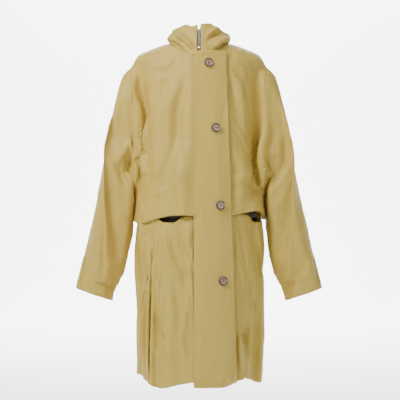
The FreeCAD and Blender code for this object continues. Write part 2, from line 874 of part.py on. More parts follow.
loop_depth = ("loop_back - loop_thickness", "loop_back")
loop_outside = region(
    "loop_outside", ("-loop_width / 2", "loop_width / 2"), loop_depth, ("loop_top - loop_drop", "loop_top")
)
loop_inside = region(
    "loop_inside",
    ("-loop_width / 2 + loop_strip", "loop_width / 2 - loop_strip"),
    loop_depth,
    ("loop_top - loop_drop + loop_strip", "loop_top - loop_thickness"),
)
finish(boolean("Cut", "loop", loop_outside, loop_inside), "hanger_loop")

# -------------------------------------------------------------------- export

document.recompute()
for item in document.Objects:
    if "Invalid" in item.State or "Error" in item.State:
        raise RuntimeError(f"{item.Label} did not compute: {item.State}")
for item in nodes:
    if item.Shape.isNull() or not item.Shape.isValid():
        raise RuntimeError(f"{item.Label} has no valid shape")

os.makedirs("parts", exist_ok=True)
for item in nodes:
    item.Shape.exportStep(f"parts/{item.Label}.step")
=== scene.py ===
import json
import math

import bpy
import numpy as np
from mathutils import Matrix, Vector, geometry, noise
from mathutils.bvhtree import BVHTree


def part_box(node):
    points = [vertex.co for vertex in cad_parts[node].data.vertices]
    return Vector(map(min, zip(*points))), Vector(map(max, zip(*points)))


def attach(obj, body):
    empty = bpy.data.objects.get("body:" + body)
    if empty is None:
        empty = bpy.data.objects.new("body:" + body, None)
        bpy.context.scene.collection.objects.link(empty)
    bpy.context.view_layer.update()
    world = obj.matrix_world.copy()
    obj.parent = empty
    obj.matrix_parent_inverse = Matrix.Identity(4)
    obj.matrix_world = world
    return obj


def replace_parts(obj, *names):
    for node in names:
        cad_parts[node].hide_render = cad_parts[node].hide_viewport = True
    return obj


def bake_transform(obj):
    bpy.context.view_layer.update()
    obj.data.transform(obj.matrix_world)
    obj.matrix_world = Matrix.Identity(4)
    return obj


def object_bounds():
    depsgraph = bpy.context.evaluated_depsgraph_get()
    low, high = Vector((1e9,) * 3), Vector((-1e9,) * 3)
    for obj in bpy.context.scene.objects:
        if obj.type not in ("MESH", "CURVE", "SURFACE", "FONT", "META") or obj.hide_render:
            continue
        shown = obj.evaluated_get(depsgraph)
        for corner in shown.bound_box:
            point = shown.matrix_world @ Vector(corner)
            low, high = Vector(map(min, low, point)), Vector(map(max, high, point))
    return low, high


# A mustard raincoat. Metres, +Z up, front towards -Y, wearer's left towards +X.

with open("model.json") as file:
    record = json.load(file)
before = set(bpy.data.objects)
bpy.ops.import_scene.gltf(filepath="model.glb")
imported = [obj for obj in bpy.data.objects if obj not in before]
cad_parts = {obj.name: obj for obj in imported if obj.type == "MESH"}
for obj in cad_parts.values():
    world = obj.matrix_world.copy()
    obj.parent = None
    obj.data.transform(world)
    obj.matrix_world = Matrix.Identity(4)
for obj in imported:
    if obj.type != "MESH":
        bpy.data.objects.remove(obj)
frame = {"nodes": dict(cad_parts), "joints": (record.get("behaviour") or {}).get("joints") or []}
cad_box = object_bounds()

# ------------------------------------------------------- measures of the frame

SIDES = {"right": -1, "left": 1}
BODICE_NODES = ("bodice_front_right", "bodice_front_left", "bodice_back")
SKIRT_NODES = ("skirt_front_right", "skirt_front_left", "skirt_back")
SLEEVE_NODES = ("sleeve_front_left", "sleeve_back_left")


def node_triangles(names):
    """Corner points of every triangle of some CAD nodes."""
    found = []
    for name in names:
        mesh = frame["nodes"][name].data
        points = np.array([v.co for v in mesh.vertices], float)
        mesh.calc_loop_triangles()
        corners = np.array([t.vertices for t in mesh.loop_triangles])
        found.append(points[corners])
    return np.concatenate(found)


def slice_extent(triangles, level):
    """(lowest x, highest x, highest y) where the triangles cross a level."""
    crossings = []
    for start, end in ((0, 1), (1, 2), (2, 0)):
        a, b = triangles[:, start], triangles[:, end]
        crossing = (a[:, 2] - level) * (b[:, 2] - level) < 0
        a, b = a[crossing], b[crossing]
        share = ((level - a[:, 2]) / (b[:, 2] - a[:, 2]))[:, None]
        crossings.append(a + (b - a) * share)
    points = np.concatenate(crossings)
    return points[:, 0].min(), points[:, 0].max(), points[:, 1].max()


class Profile:
    """Half width, inner edge and back of a part of the coat at any level, read from its CAD nodes."""

    def __init__(self, nodes, levels):
        triangles = node_triangles(nodes)
        self.levels = np.array(sorted(levels))
        extents = np.array([slice_extent(triangles, level) for level in self.levels])
        self.inner_x, self.outer_x, self.back_y = extents.T

    def half_width(self, z):
        return np.interp(z, self.levels, self.outer_x)

    def inner(self, z):
        return np.interp(z, self.levels, self.inner_x)

    def back(self, z):
        return np.interp(z, self.levels, self.back_y)


# levels that miss the armholes
bodice = Profile(BODICE_NODES, (-0.461, -0.4, -0.3, -0.215, -0.04, -0.027, -0.0141, -0.0001, 0.0219, 0.0295))
skirt = Profile(SKIRT_NODES, (-0.911, -0.74, -0.56, -0.401))
sleeve = Profile(SLEEVE_NODES, (-0.64, -0.54, -0.42, -0.3, -0.18, -0.1, -0.054, -0.03))

HEM_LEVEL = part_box("bodice_back")[0].z
NECK_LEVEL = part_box("bodice_back")[1].z
CENTRE_EDGE = 0.006
HALF_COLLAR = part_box("collar_outer")[1].x - 0.004
shoulder = Vector(next(j["pos_m"] for j in frame["joints"] if j["name"] == "left_sleeve_raise"))
sleeve_points = node_triangles(SLEEVE_NODES).reshape(-1, 3)
CUFF_OUTER = sleeve_points[sleeve_points[:, 0].argmax()][[0, 2]]
CUFF_INNER = sleeve_points[sleeve_points[:, 2].argmin()][[0, 2]]


def front_line(z):
    """How far forward the centre front stands at a level."""
    low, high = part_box("zip_tape_left")
    share = (np.asarray(z) - low.z) / (high.z - low.z)
    slope_y = low.y + share * ((high.y - 0.0006) - low.y)
    return slope_y - 0.0029


# ------------------------------------------------------------- cloth patterns

SPACING = 0.0095  # between points of the draped cloth
RAISED = math.radians(30)  # how far the sleeves are lifted before they drape
CUFF_GIRTH = 0.30
CUFF_HALF_DEPTH = 0.042


def smoothstep(x, low, high):
    t = np.clip((np.asarray(x, float) - low) / (high - low), 0, 1)
    return t * t * (3 - 2 * t)


def turned(points, angle):
    """Points (x, z) turned outwards and up about the shoulder."""
    offset = np.asarray(points, float) - np.array((shoulder.x, shoulder.z))
    c, s = np.cos(angle), np.sin(angle)
    x = offset[:, 0] * c - offset[:, 1] * s
    z = offset[:, 0] * s + offset[:, 1] * c
    return np.stack((x, z), 1) + np.array((shoulder.x, shoulder.z))


def resample(points, spacing):
    """Points evenly spaced along a line, both ends kept."""
    points = np.asarray(points, float)
    along = np.concatenate(([0], np.cumsum(np.linalg.norm(np.diff(points, axis=0), axis=1))))
    count = max(2, round(along[-1] / spacing) + 1)
    wanted = np.linspace(0, along[-1], count)
    return np.stack([np.interp(wanted, along, points[:, axis]) for axis in (0, 1)], 1)


def spline(points, steps=12):
    """A smooth line through points (Catmull-Rom)."""
    p = np.asarray(points, float)
    p = np.concatenate(([2 * p[0] - p[1]], p, [2 * p[-1] - p[-2]]))
    t = np.linspace(0, 1, steps, endpoint=False)[:, None]
    spans = []
    for a, b, c, d in zip(p, p[1:], p[2:], p[3:]):
        cubic = 2 * b + (c - a) * t + (2 * a - 5 * b + 4 * c - d) * t**2 + (3 * b - a - 3 * c + d) * t**3
        spans.append(cubic / 2)
    return np.concatenate(spans + [p[-2:-1]])


def front_neck_line():
    """(x, z) of the neck edge at the front, from the zip to the shoulder."""
    return spline([(CENTRE_EDGE, 0.0), (0.035, 0.001), (0.062, 0.012), (HALF_COLLAR, NECK_LEVEL)])


def seam_lines():
    """(x, z) of the shoulder and sleeve top, the cuff, and the underarm and side seam, sleeve raised."""
    levels = np.array((-0.054, -0.1, -0.18, -0.3, -0.42, -0.54))
    outer = np.stack((sleeve.half_width(levels), levels), 1)
    outer = np.concatenate((outer, [CUFF_OUTER]))
    slope_levels = np.array((0.0219, -0.0001, -0.0141))
    slope = np.stack((bodice.half_width(slope_levels), slope_levels), 1)
    raised = turned(outer, RAISED)
    top = spline(np.concatenate(([(HALF_COLLAR, NECK_LEVEL)], slope, raised)))
    across = turned([CUFF_INNER], RAISED)[0] - raised[-1]
    across /= np.linalg.norm(across)
    cuff = np.array((raised[-1], raised[-1] + CUFF_GIRTH / 2 * across))
    forearm = raised[-2] + 0.168 * across
    elbow = raised[-3] + 0.178 * across
    armpit = np.array(((0.292, -0.404), (0.228, -0.377), (0.189, -0.386)))
    side_levels = np.array((-0.42, HEM_LEVEL))
    side = np.stack((bodice.half_width(side_levels) + 0.001, side_levels), 1)
    under = spline(np.concatenate(([cuff[-1], forearm, elbow], armpit, side)))
    return top, cuff, under


def inside(points, outline):
    """True for the points within a closed outline."""
    x, z = points[:, 0, None], points[:, 1, None]
    ax, az = outline[None, :, 0], outline[None, :, 1]
    bx, bz = np.roll(ax, -1, 1), np.roll(az, -1, 1)
    crosses = (az > z) != (bz > z)
    with np.errstate(divide="ignore", invalid="ignore"):
        at = ax + (z - az) / (bz - az) * (bx - ax)
    return (crosses & (x < at)).sum(1) % 2 == 1


def distance(points, line):
    """Distance from each point to an open line."""
    a, b = line[:-1], line[1:]
    d = b - a
    best = np.full(len(points), 1e9)
    for start, step in zip(a, d):
        t = np.clip(((points - start) @ step) / max(step @ step, 1e-12), 0, 1)
        gap = np.linalg.norm(points - start - t[:, None] * step, axis=1)
        best = np.minimum(best, gap)
    return best


def triangulate(lines, spacing):
    """Points and triangles that fill the outline made by lines laid end to end."""
    outline = np.concatenate([line[:-1] for line in lines])
    low, high = outline.min(0), outline.max(0)
    row = spacing * math.sqrt(3) / 2
    lattice = []
    for index, z in enumerate(np.arange(low[1], high[1], row)):
        for x in np.arange(low[0] + (index % 2) * spacing / 2, high[0], spacing):
            lattice.append((x, z))
    lattice = np.array(lattice)
    closed = np.concatenate((outline, outline[:1]))
    keep = inside(lattice, outline)
    keep[keep] = distance(lattice[keep], closed) > 0.55 * spacing
    points = np.concatenate((outline, lattice[keep]))
    count = len(outline)
    edges = [(i, (i + 1) % count) for i in range(count)]
    found = geometry.delaunay_2d_cdt([Vector(p) for p in points], edges, [], 1, 1e-7)
    return np.array([tuple(p) for p in found[0]]), np.array(found[2])


def bodice_pattern():
    """Points (x, z), side (-1 front, 1 back, 0 on a seam) and triangles of the bodice with its sleeves."""
    top, cuff, under = (resample(line, SPACING) for line in seam_lines())
    seams = np.concatenate((top, under))
    front_neck = resample(front_neck_line(), SPACING)
    back_neck = spline([(0, NECK_LEVEL - 0.004), (0.05, NECK_LEVEL - 0.002), (HALF_COLLAR, NECK_LEVEL)])
    back_neck = resample(back_neck, SPACING)
    hem = {
        -1: resample([under[-1], (CENTRE_EDGE, HEM_LEVEL)], SPACING),
        1: resample([under[-1], (0, HEM_LEVEL)], SPACING),
    }
    centre = {
        -1: resample([(CENTRE_EDGE, HEM_LEVEL), (CENTRE_EDGE, 0)], SPACING),
        1: resample([(0, HEM_LEVEL), (0, NECK_LEVEL - 0.004)], SPACING),
    }
    neck = {-1: front_neck, 1: back_neck}
    seam_keys = {tuple(np.round(p, 6)) for p in seams}
    index, places, sides, faces = {}, [], [], []
    for side in (-1, 1):
        points, triangles = triangulate((neck[side], top, cuff, under, hem[side], centre[side]), SPACING)
        for mirror in (1, -1):
            ids = []
            for p in points:
                key = tuple(np.round(p, 6))
                on_seam = key in seam_keys
                name = (round(mirror * key[0], 6) + 0.0, key[1], 0 if on_seam else side)
                if name not in index:
                    index[name] = len(places)
                    places.append((mirror * p[0], p[1]))
                    sides.append(0 if on_seam else side)
                ids.append(index[name])
            for triangle in triangles:
                corners = [ids[i] for i in triangle]
                faces.append(corners[:: -side * mirror])
    return np.array(places), np.array(sides), faces, seams


def inflate(places, sides, seams):
    """Lift the flat pattern round the body and the arms."""
    x, z = np.abs(places[:, 0]), places[:, 1]
    width = bodice.half_width(z)
    front, back = front_line(z), bodice.back(z)
    middle, depth = (front + back) / 2, (back - front) / 2
    body = depth * np.sqrt(np.clip(1 - (x / width) ** 2, 0, 1))
    near = np.clip(distance(np.stack((x, z), 1), seams) / 0.06, 0, 1)
    tube = 0.05 * np.sqrt(1 - (1 - near) ** 2) * smoothstep(x, 0.12, 0.2)
    lift = np.hypot(body, tube)
    out = smoothstep(x, 0.15, 0.24)
    y = middle * (1 - out) + shoulder.y * out + sides * lift
    return np.stack((places[:, 0], y, z), 1)


# ------------------------------------------------------------------ simulation


def new_mesh(name, points, faces):
    mesh = bpy.data.meshes.new(name)
    mesh.from_pydata([tuple(p) for p in points], [], [tuple(int(i) for i in f) for f in faces])
    mesh.update()
    thing = bpy.data.objects.new(name, mesh)
    bpy.context.scene.collection.objects.link(thing)
    return thing


def rings_mesh(name, rings):
    """A closed lump through rings of equal length, lowest first."""
    count = len(rings[0])
    points = np.concatenate(rings)
    faces = [list(range(count))[::-1]]
    for level in range(len(rings) - 1):
        base = level * count
        for i in range(count):
            j = (i + 1) % count
            faces.append((base + i, base + j, base + count + j, base + count + i))
    faces.append([len(points) - count + i for i in range(count)])
    return new_mesh(name, points, faces)


def dress_form(profile, levels, gap, name):
    """The wearer's shape: the inside of the coat, drawn in by a gap."""
    turn = np.linspace(0, 2 * math.pi, 64, endpoint=False)
    rings = []
    for level, ease in levels:
        front = front_line(level) + 0.005
        back = profile.back(level) - gap - ease
        middle, b = (front + back) / 2, (back - front) / 2
        a = profile.half_width(level) - gap - ease
        ring = np.stack((a * np.cos(turn), middle + b * np.sin(turn), np.full(64, level - gap / 2)), 1)
        rings.append(ring)
    form = rings_mesh(name, rings)
    form.modifiers.new("Collision", "COLLISION")
    form.collision.thickness_outer = 0.003
    form.collision.cloth_friction = 12
    return form


def dress_arms(frames):
    """The wearer's arms, which come down about the shoulders as the coat is draped."""
    arms = []
    turn = np.linspace(0, 2 * math.pi, 32, endpoint=False)
    for sign in (-1, 1):
        rings = []
        for level in (-0.63, -0.5, -0.4, -0.3, -0.18, -0.09):
            middle = (sleeve.inner(level) + sleeve.half_width(level)) / 2
            breadth = (sleeve.half_width(level) - sleeve.inner(level)) / 2 * 0.6
            x = sign * (middle + breadth * np.cos(turn) - shoulder.x)
            ring = np.stack((x, 0.034 * np.sin(turn), np.full(32, level - shoulder.z)), 1)
            rings.append(ring if sign > 0 else ring[::-1])
        arm = rings_mesh("arm", rings)
        arm.location = (sign * shoulder.x, shoulder.y, shoulder.z)
        arm.rotation_euler = (0, -sign * RAISED, 0)
        arm.keyframe_insert("rotation_euler", frame=1)
        arm.rotation_euler = (0, 0, 0)
        arm.keyframe_insert("rotation_euler", frame=frames)
        arm.modifiers.new("Collision", "COLLISION")
        arm.collision.thickness_outer = 0.003
        arm.collision.cloth_friction = 5
        arms.append(arm)
    return arms


def simulate(thing, pinned, frames, stiffness, bending, target=None, settle=1):
    """Drape a mesh. Pinned points stay, or move to their target by the settle frame."""
    group = thing.vertex_groups.new(name="pin")
    for index in np.flatnonzero(pinned > 0):
        group.add([int(index)], float(pinned[index]), "REPLACE")
    if target is not None:
        thing.shape_key_add(name="start")
        key = thing.shape_key_add(name="target")
        key.data.foreach_set("co", np.asarray(target, np.float32).ravel())
        key.value = 0
        key.keyframe_insert("value", frame=1)
        key.value = 1
        key.keyframe_insert("value", frame=settle)
    cloth = thing.modifiers.new("Cloth", "CLOTH")
    settings = cloth.settings
    settings.quality = 6
    settings.mass = 0.15
    settings.tension_stiffness = settings.compression_stiffness = stiffness
    settings.shear_stiffness = stiffness / 2
    settings.bending_stiffness = bending
    settings.tension_damping = settings.compression_damping = settings.shear_damping = 8
    settings.bending_damping = 1
    settings.air_damping = 1.5
    settings.vertex_group_mass = "pin"
    settings.pin_stiffness = 1
    cloth.collision_settings.distance_min = 0.002
    cloth.collision_settings.collision_quality = 3
    cloth.point_cache.frame_start = 1
    cloth.point_cache.frame_end = frames
    scene = bpy.context.scene
    for number in range(1, frames + 1):
        scene.frame_set(number)
    graph = bpy.context.evaluated_depsgraph_get()
    mesh = thing.evaluated_get(graph).to_mesh()
    points = np.zeros(len(mesh.vertices) * 3, np.float32)
    mesh.vertices.foreach_get("co", points)
    bpy.data.objects.remove(thing)
    scene.frame_set(1)
    return points.reshape(-1, 3).astype(float)


def pin_top(places, sides, start):
    """Which points of the bodice are held, and where they go as the arms come down."""
    flat = np.stack((np.abs(places[:, 0]), places[:, 1]), 1)
    top, cuff, under = seam_lines()
    pinned = np.zeros(len(places))
    target = start.copy()
    at_cuff = distance(flat, cuff) < 0.0005
    pinned[at_cuff] = 1
    share = np.linalg.norm(flat[at_cuff] - cuff[0], axis=1) / np.linalg.norm(cuff[1] - cuff[0])
    middle = (CUFF_OUTER + CUFF_INNER) / 2
    half = (CUFF_INNER - CUFF_OUTER) / 2
    ring = middle - np.cos(math.pi * share)[:, None] * half
    mirror = np.sign(places[at_cuff, 0])
    target[at_cuff, 0] = mirror * ring[:, 0]
    target[at_cuff, 1] = shoulder.y + sides[at_cuff] * CUFF_HALF_DEPTH * np.sin(math.pi * share)
    target[at_cuff, 2] = ring[:, 1]
    on_top = distance(flat, top) < 0.0005
    pinned[on_top] = 1
    hanging = on_top & (flat[:, 0] > 0.188) & ~at_cuff
    lowered = turned(flat[hanging], -RAISED * smoothstep(flat[hanging, 0], 0.188, 0.2))
    target[hanging, 0] = np.sign(places[hanging, 0]) * lowered[:, 0]
    target[hanging, 2] = lowered[:, 1]
    pinned[(distance(flat, under) < 0.0005) & (flat[:, 0] < 0.192)] = 1
    pinned[(flat[:, 0] < CENTRE_EDGE + 0.0005) & (sides == -1)] = 1
    front_neck = (sides == -1) & (distance(flat, front_neck_line()) < 0.001)
    neck = ((sides == 1) & (flat[:, 1] > NECK_LEVEL - 0.0045)) | front_neck
    pinned[neck & (flat[:, 0] <= HALF_COLLAR + 0.0005)] = 1
    return pinned, target


def neighbours(count, faces):
    """Pairs of joined points, both ways round."""
    corners = np.array(faces)
    pairs = np.concatenate([corners[:, [i, (i + 1) % corners.shape[1]]] for i in range(corners.shape[1])])
    pairs = np.unique(np.sort(pairs, axis=1), axis=0)
    return np.concatenate((pairs, pairs[:, ::-1]))


def smoothed(points, faces, weight, rounds):
    """Points drawn towards their neighbours' mean by a weight from 0 to 1 each."""
    pairs = neighbours(len(points), faces)
    number = np.bincount(pairs[:, 0], minlength=len(points))
    points = points.copy()
    for _ in range(rounds):
        total = np.zeros_like(points)
        np.add.at(total, pairs[:, 0], points[pairs[:, 1]])
        mean = total / np.maximum(number, 1)[:, None]
        points += weight[:, None] * (mean - points)
    return points


# -------------------------------------------------------------------- materials


class Nodes:
    """Short names for building a material's nodes."""

    def __init__(self, name):
        self.material = bpy.data.materials.new(name)
        self.material.use_nodes = True
        self.tree = self.material.node_tree
        self.shader = self.tree.nodes["Principled BSDF"]

    def add(self, kind, inputs=(), **settings):
        node = self.tree.nodes.new(kind)
        for key, value in settings.items():
            setattr(node, key, value)
        for key, value in dict(inputs).items():
            if isinstance(value, bpy.types.NodeSocket):
                self.tree.links.new(value, node.inputs[key])
            else:
                node.inputs[key].default_value = value
        return node

    def maths(self, operation, first, second=0.0):
        return self.add("ShaderNodeMath", {0: first, 1: second}, operation=operation).outputs[0]

    def noise(self, place, scale, detail=3.0, roughness=0.55):
        inputs = {"Vector": place, "Scale": scale, "Detail": detail, "Roughness": roughness}
        return self.add("ShaderNodeTexNoise", inputs).outputs["Fac"]

    def mix(self, share, first, second, blend="MIX"):
        node = self.add("ShaderNodeMix", data_type="RGBA", blend_type=blend)
        for socket, value in ((node.inputs[0], share), (node.inputs[6], first), (node.inputs[7], second)):
            if isinstance(value, bpy.types.NodeSocket):
                self.tree.links.new(value, socket)
            else:
                socket.default_value = value
        return node.outputs[2]

    def ramp(self, share, stops):
        node = self.add("ShaderNodeValToRGB", {"Fac": share})
        elements = node.color_ramp.elements
        while len(elements) < len(stops):
            elements.new(0.5)
        for element, (position, colour) in zip(elements, stops):
            element.position = position
            element.color = colour
        return node.outputs["Color"]

    def finish(self, colour=None, roughness=None, bumps=(), **sockets):
        """Connect colour, roughness and layered bumps given as (height, strength, distance)."""
        if colour is not None:
            self.tree.links.new(colour, self.shader.inputs["Base Color"])
        if roughness is not None:
            self.tree.links.new(roughness, self.shader.inputs["Roughness"])
        normal = None
        for height, strength, reach in bumps:
            inputs = {"Height": height, "Strength": strength, "Distance": reach}
            if normal is not None:
                inputs["Normal"] = normal
            normal = self.add("ShaderNodeBump", inputs).outputs["Normal"]
        if normal is not None:
            self.tree.links.new(normal, self.shader.inputs["Normal"])
        for key, value in sockets.items():
            self.shader.inputs[key.replace("_", " ")].default_value = value
        return self.material


def shade(r, g, b):
    return (r, g, b, 1.0)


def cloth_material(name, warp, weft, tint_low, tint_high, thread=0.0007, crumple=0.6, sheen=0.08, rough=0.6):
    """Plain-woven cloth in two yarn colours, with soft creases and patches of tint."""
    n = Nodes(name)
    uv = n.add("ShaderNodeUVMap").outputs["UV"]
    place = n.add("ShaderNodeTexCoord").outputs["Object"]
    scale = 1 / thread
    axes = n.add("ShaderNodeSeparateXYZ", {"Vector": uv})
    weave = [n.maths("SINE", n.maths("MULTIPLY", axes.outputs[axis], math.pi * scale)) for axis in ("X", "Y")]
    over = n.maths("MULTIPLY", weave[0], weave[1])
    which = n.maths("ADD", n.maths("MULTIPLY", over, 0.5), 0.5)
    yarn = n.mix(which, warp, weft)
    drift = n.ramp(n.noise(place, 3.2, 2.0), ((0.3, tint_low), (0.7, tint_high)))
    tinted = n.mix(0.5, yarn, drift, "MULTIPLY")
    slub = n.noise(n.add("ShaderNodeMapping", {"Vector": uv, "Scale": (900, 60, 1)}).outputs[0], 1.0, 2.0)
    colour = n.mix(n.maths("MULTIPLY", slub, 0.04), tinted, shade(1, 1, 1), "SOFT_LIGHT")
    ridges = n.maths("MAXIMUM", weave[0], weave[1])
    stretched = n.add("ShaderNodeMapping", {"Vector": place, "Scale": (34, 34, 15)}).outputs[0]
    creases = n.noise(stretched, 1.0, 4.0, 0.6)
    fine = n.noise(place, 120, 3.0)
    rough_map = n.maths("ADD", n.maths("MULTIPLY", fine, 0.14), rough - 0.07)
    bumps = ((creases, crumple, 0.006), (fine, 0.18, 0.0012), (ridges, 0.25, 0.0002))
    sockets = {"Sheen_Weight": sheen, "Sheen_Roughness": 0.45, "Sheen_Tint": shade(0.95, 0.85, 0.6)}
    return n.finish(colour, rough_map, bumps, **sockets)


def metal_material(name, colour, rough=0.24):
    n = Nodes(name)
    place = n.add("ShaderNodeTexCoord").outputs["Object"]
    scuffs = n.noise(place, 900, 4.0)
    patches = n.noise(place, 120, 2.0)
    tone = n.mix(patches, colour, tuple(0.8 * c for c in colour[:3]) + (1,))
    rough_map = n.maths("ADD", n.maths("MULTIPLY", scuffs, 0.25), rough - 0.1)
    return n.finish(tone, rough_map, ((scuffs, 0.15, 0.0002),), Metallic=1.0)


def tortoiseshell_material():
    """Mottled horn, darker in the middle of a button and round its rim."""
    n = Nodes("tortoiseshell")
    place = n.add("ShaderNodeTexCoord").outputs["Object"]
    warp = n.noise(place, 60, 2.0)
    bent = n.add("ShaderNodeVectorMath", {0: warp, 1: (0.02, 0.02, 0.02), 2: place}, operation="MULTIPLY_ADD")
    swirl = n.noise(bent.outputs[0], 150, 4.0, 0.65)
    stops = (
        (0.3, shade(0.05, 0.02, 0.012)),
        (0.42, shade(0.2, 0.09, 0.06)),
        (0.55, shade(0.42, 0.26, 0.2)),
        (0.75, shade(0.55, 0.4, 0.34)),
    )
    body = n.ramp(swirl, stops)
    flat = n.add("ShaderNodeVectorMath", {0: place, 1: (1, 1, 0)}, operation="MULTIPLY").outputs[0]
    out = n.add("ShaderNodeVectorMath", {0: flat}, operation="LENGTH").outputs["Value"]
    darkness = ((0.0, 0.9), (0.3, 0.75), (0.4, 0.0), (0.62, 0.05), (0.76, 0.95))
    rings = [(place_out, shade(dark, dark, dark)) for place_out, dark in darkness]
    tone = n.ramp(n.maths("DIVIDE", out, BUTTON_RADIUS), rings)
    colour = n.mix(n.maths("MULTIPLY", tone, 0.93), body, shade(0.03, 0.012, 0.008))
    rough_map = n.maths("ADD", n.maths("MULTIPLY", swirl, 0.15), 0.14)
    return n.finish(colour, rough_map, ((swirl, 0.05, 0.0003),), Coat_Weight=0.5, Coat_Roughness=0.08)


def thread_material(name, colour):
    n = Nodes(name)
    place = n.add("ShaderNodeTexCoord").outputs["Object"]
    twist = n.add("ShaderNodeTexWave", {"Vector": place, "Scale": 900, "Distortion": 1.5}).outputs["Fac"]
    tone = n.mix(n.maths("MULTIPLY", twist, 0.35), colour, tuple(0.6 * c for c in colour[:3]) + (1,))
    rough_map = n.maths("ADD", n.maths("MULTIPLY", twist, 0.2), 0.5)
    return n.finish(tone, rough_map, ((twist, 0.4, 0.0002),), Sheen_Weight=0.2)


BUTTON_RADIUS = 0.0127
GREY = shade(0.9, 0.9, 0.9)
WHITE = shade(1, 1, 1)
COAT = cloth_material(
    "raincoat_cloth", shade(0.60, 0.405, 0.072), shade(0.45, 0.335, 0.052),
    shade(0.93, 1, 0.9), shade(1, 0.93, 0.86),
)
LINING = cloth_material(
    "lining_cloth", shade(0.05, 0.03, 0.02), shade(0.07, 0.042, 0.028), GREY, WHITE, 0.0005, 0.25, 0.15, 0.42
)
PADDING = cloth_material(
    "padding", shade(0.62, 0.6, 0.55), shade(0.55, 0.53, 0.48),
    shade(0.95, 0.95, 0.95), WHITE, 0.002, 0.5, 0.5, 0.8,
)
TAPE = cloth_material(
    "zip_tape", shade(0.2, 0.11, 0.05), shade(0.27, 0.16, 0.08), GREY, WHITE, 0.0011, 0.05, 0.2, 0.6
)
METAL = metal_material("zip_metal", shade(0.86, 0.85, 0.82))
HORN = tortoiseshell_material()
THREAD = thread_material("thread", shade(0.5, 0.37, 0.14))
BROWN_THREAD = thread_material("brown_thread", shade(0.09, 0.05, 0.03))

# ----------------------------------------------------------------------- pieces


made = {}  # every piece by name


def worn(piece, name):
    """The piece stands for its CAD node and rides on the coat."""
    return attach(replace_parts(piece, name), "coat")


def build(name, points, faces, material, slot, uv=None):
    """A piece with one material, and its UV given per point in metres."""
    thing = new_mesh(f"{name}_piece" if name in frame["nodes"] else name, points, faces)
    made[name] = thing
    mesh = thing.data
    mesh.materials.append(material)
    mesh.polygons.foreach_set("use_smooth", [True] * len(mesh.polygons))
    if uv is not None:
        layer = mesh.uv_layers.new(name="UVMap")
        corners = np.zeros(len(mesh.loops), int)
        mesh.loops.foreach_get("vertex_index", corners)
        layer.data.foreach_set("uv", np.asarray(uv, np.float32)[corners].ravel())
    return thing


def thicken(thing, thickness, offset=-1, levels=1):
    """Give a sheet its thickness and smooth it."""
    if levels:
        finer = thing.modifiers.new("Smooth", "SUBSURF")
        finer.levels = finer.render_levels = levels
    solid = thing.modifiers.new("Thickness", "SOLIDIFY")
    solid.thickness = thickness
    solid.offset = offset
    solid.use_even_offset = False


def grid_faces(rows, columns, closed=False):
    """Quads between rows of points; closed joins the last column to the first."""
    faces = []
    for r in range(rows - 1):
        for c in range(columns if closed else columns - 1):
            d = (c + 1) % columns
            faces.append((r * columns + c, r * columns + d, (r + 1) * columns + d, (r + 1) * columns + c))
    return faces


def grid_uv(grid):
    """Distances along the rows and down the columns of a grid of points."""
    across = np.linalg.norm(np.diff(grid, axis=1), axis=2).mean(0)
    down = np.linalg.norm(np.diff(grid, axis=0), axis=2).mean(1)
    u = np.concatenate(([0], np.cumsum(across)))
    v = np.concatenate(([0], np.cumsum(down)))
    return np.stack(np.meshgrid(u, v), 2).reshape(-1, 2), (u[-1], v[-1])


def grid_piece(name, grid, material, slot, thickness, offset=-1, flip=False, levels=1):
    """A sheet laid out on a grid of points."""
    rows, columns = grid.shape[:2]
    faces = grid_faces(rows, columns)
    if flip:
        faces = [face[::-1] for face in faces]
    uv, (width, length) = grid_uv(grid)
    thing = build(name, grid.reshape(-1, 3), faces, material, slot, uv)
    thicken(thing, thickness, offset, levels)
    return thing


# A strip that the pattern cuts aslant fills less of its box than that, so the area worked out for it
# is held to at least this share, which is more than it has.
LEAST_SHARE = 0.31


def part_of(
    name, points, flat, faces, material, slot, thickness, shift=0.0, normals=None, layers=1
):
    """The piece of a larger sheet that some of its faces make, moved out along its normals by shift."""
    used, compact = np.unique(np.array(faces).ravel(), return_inverse=True)
    corners = compact.reshape(len(faces), -1)
    places = points[used] + (normals[used] * shift if shift else 0)
    thing = build(name, places, corners, material, slot, flat[used])
    thicken(thing, thickness)
    spots = flat[np.array(faces)]
    area = 0.5 * np.abs(np.cross(spots[:, 1] - spots[:, 0], spots[:, 2] - spots[:, 0])).sum()
    if spots.shape[1] == 4:
        area += 0.5 * np.abs(np.cross(spots[:, 2] - spots[:, 0], spots[:, 3] - spots[:, 0])).sum()
    width, length = np.ptp(flat[used], axis=0) * (layers, 1)
    area = min(max(area, LEAST_SHARE * width * length), width * length)
    return thing


def point_normals(points, faces):
    """The way out at each point, the mean of the faces about it."""
    faces = np.array(faces)
    corners = points[faces]
    normal = np.cross(corners[:, 1] - corners[:, 0], corners[:, 2] - corners[:, 0])
    total = np.zeros_like(points)
    for column in range(faces.shape[1]):
        np.add.at(total, faces[:, column], normal)
    return total / np.maximum(np.linalg.norm(total, axis=1, keepdims=True), 1e-12)


def facing_out(points, faces, front):
    """Faces and point normals, turned so that those further forward than front face forward."""
    normals = point_normals(points, faces)
    if (normals[:, 1] * (points[:, 1] < front)).sum() > 0:
        return [face[::-1] for face in faces], -normals
    return faces, normals


def rough(points, scale, start=(0.0, 0.0, 0.0)):
    """Smooth noise at each point, scaled along each axis."""
    return np.array([noise.noise(Vector(spot)) for spot in points * scale + start])


# -------------------------------------------------------------------- the bodice

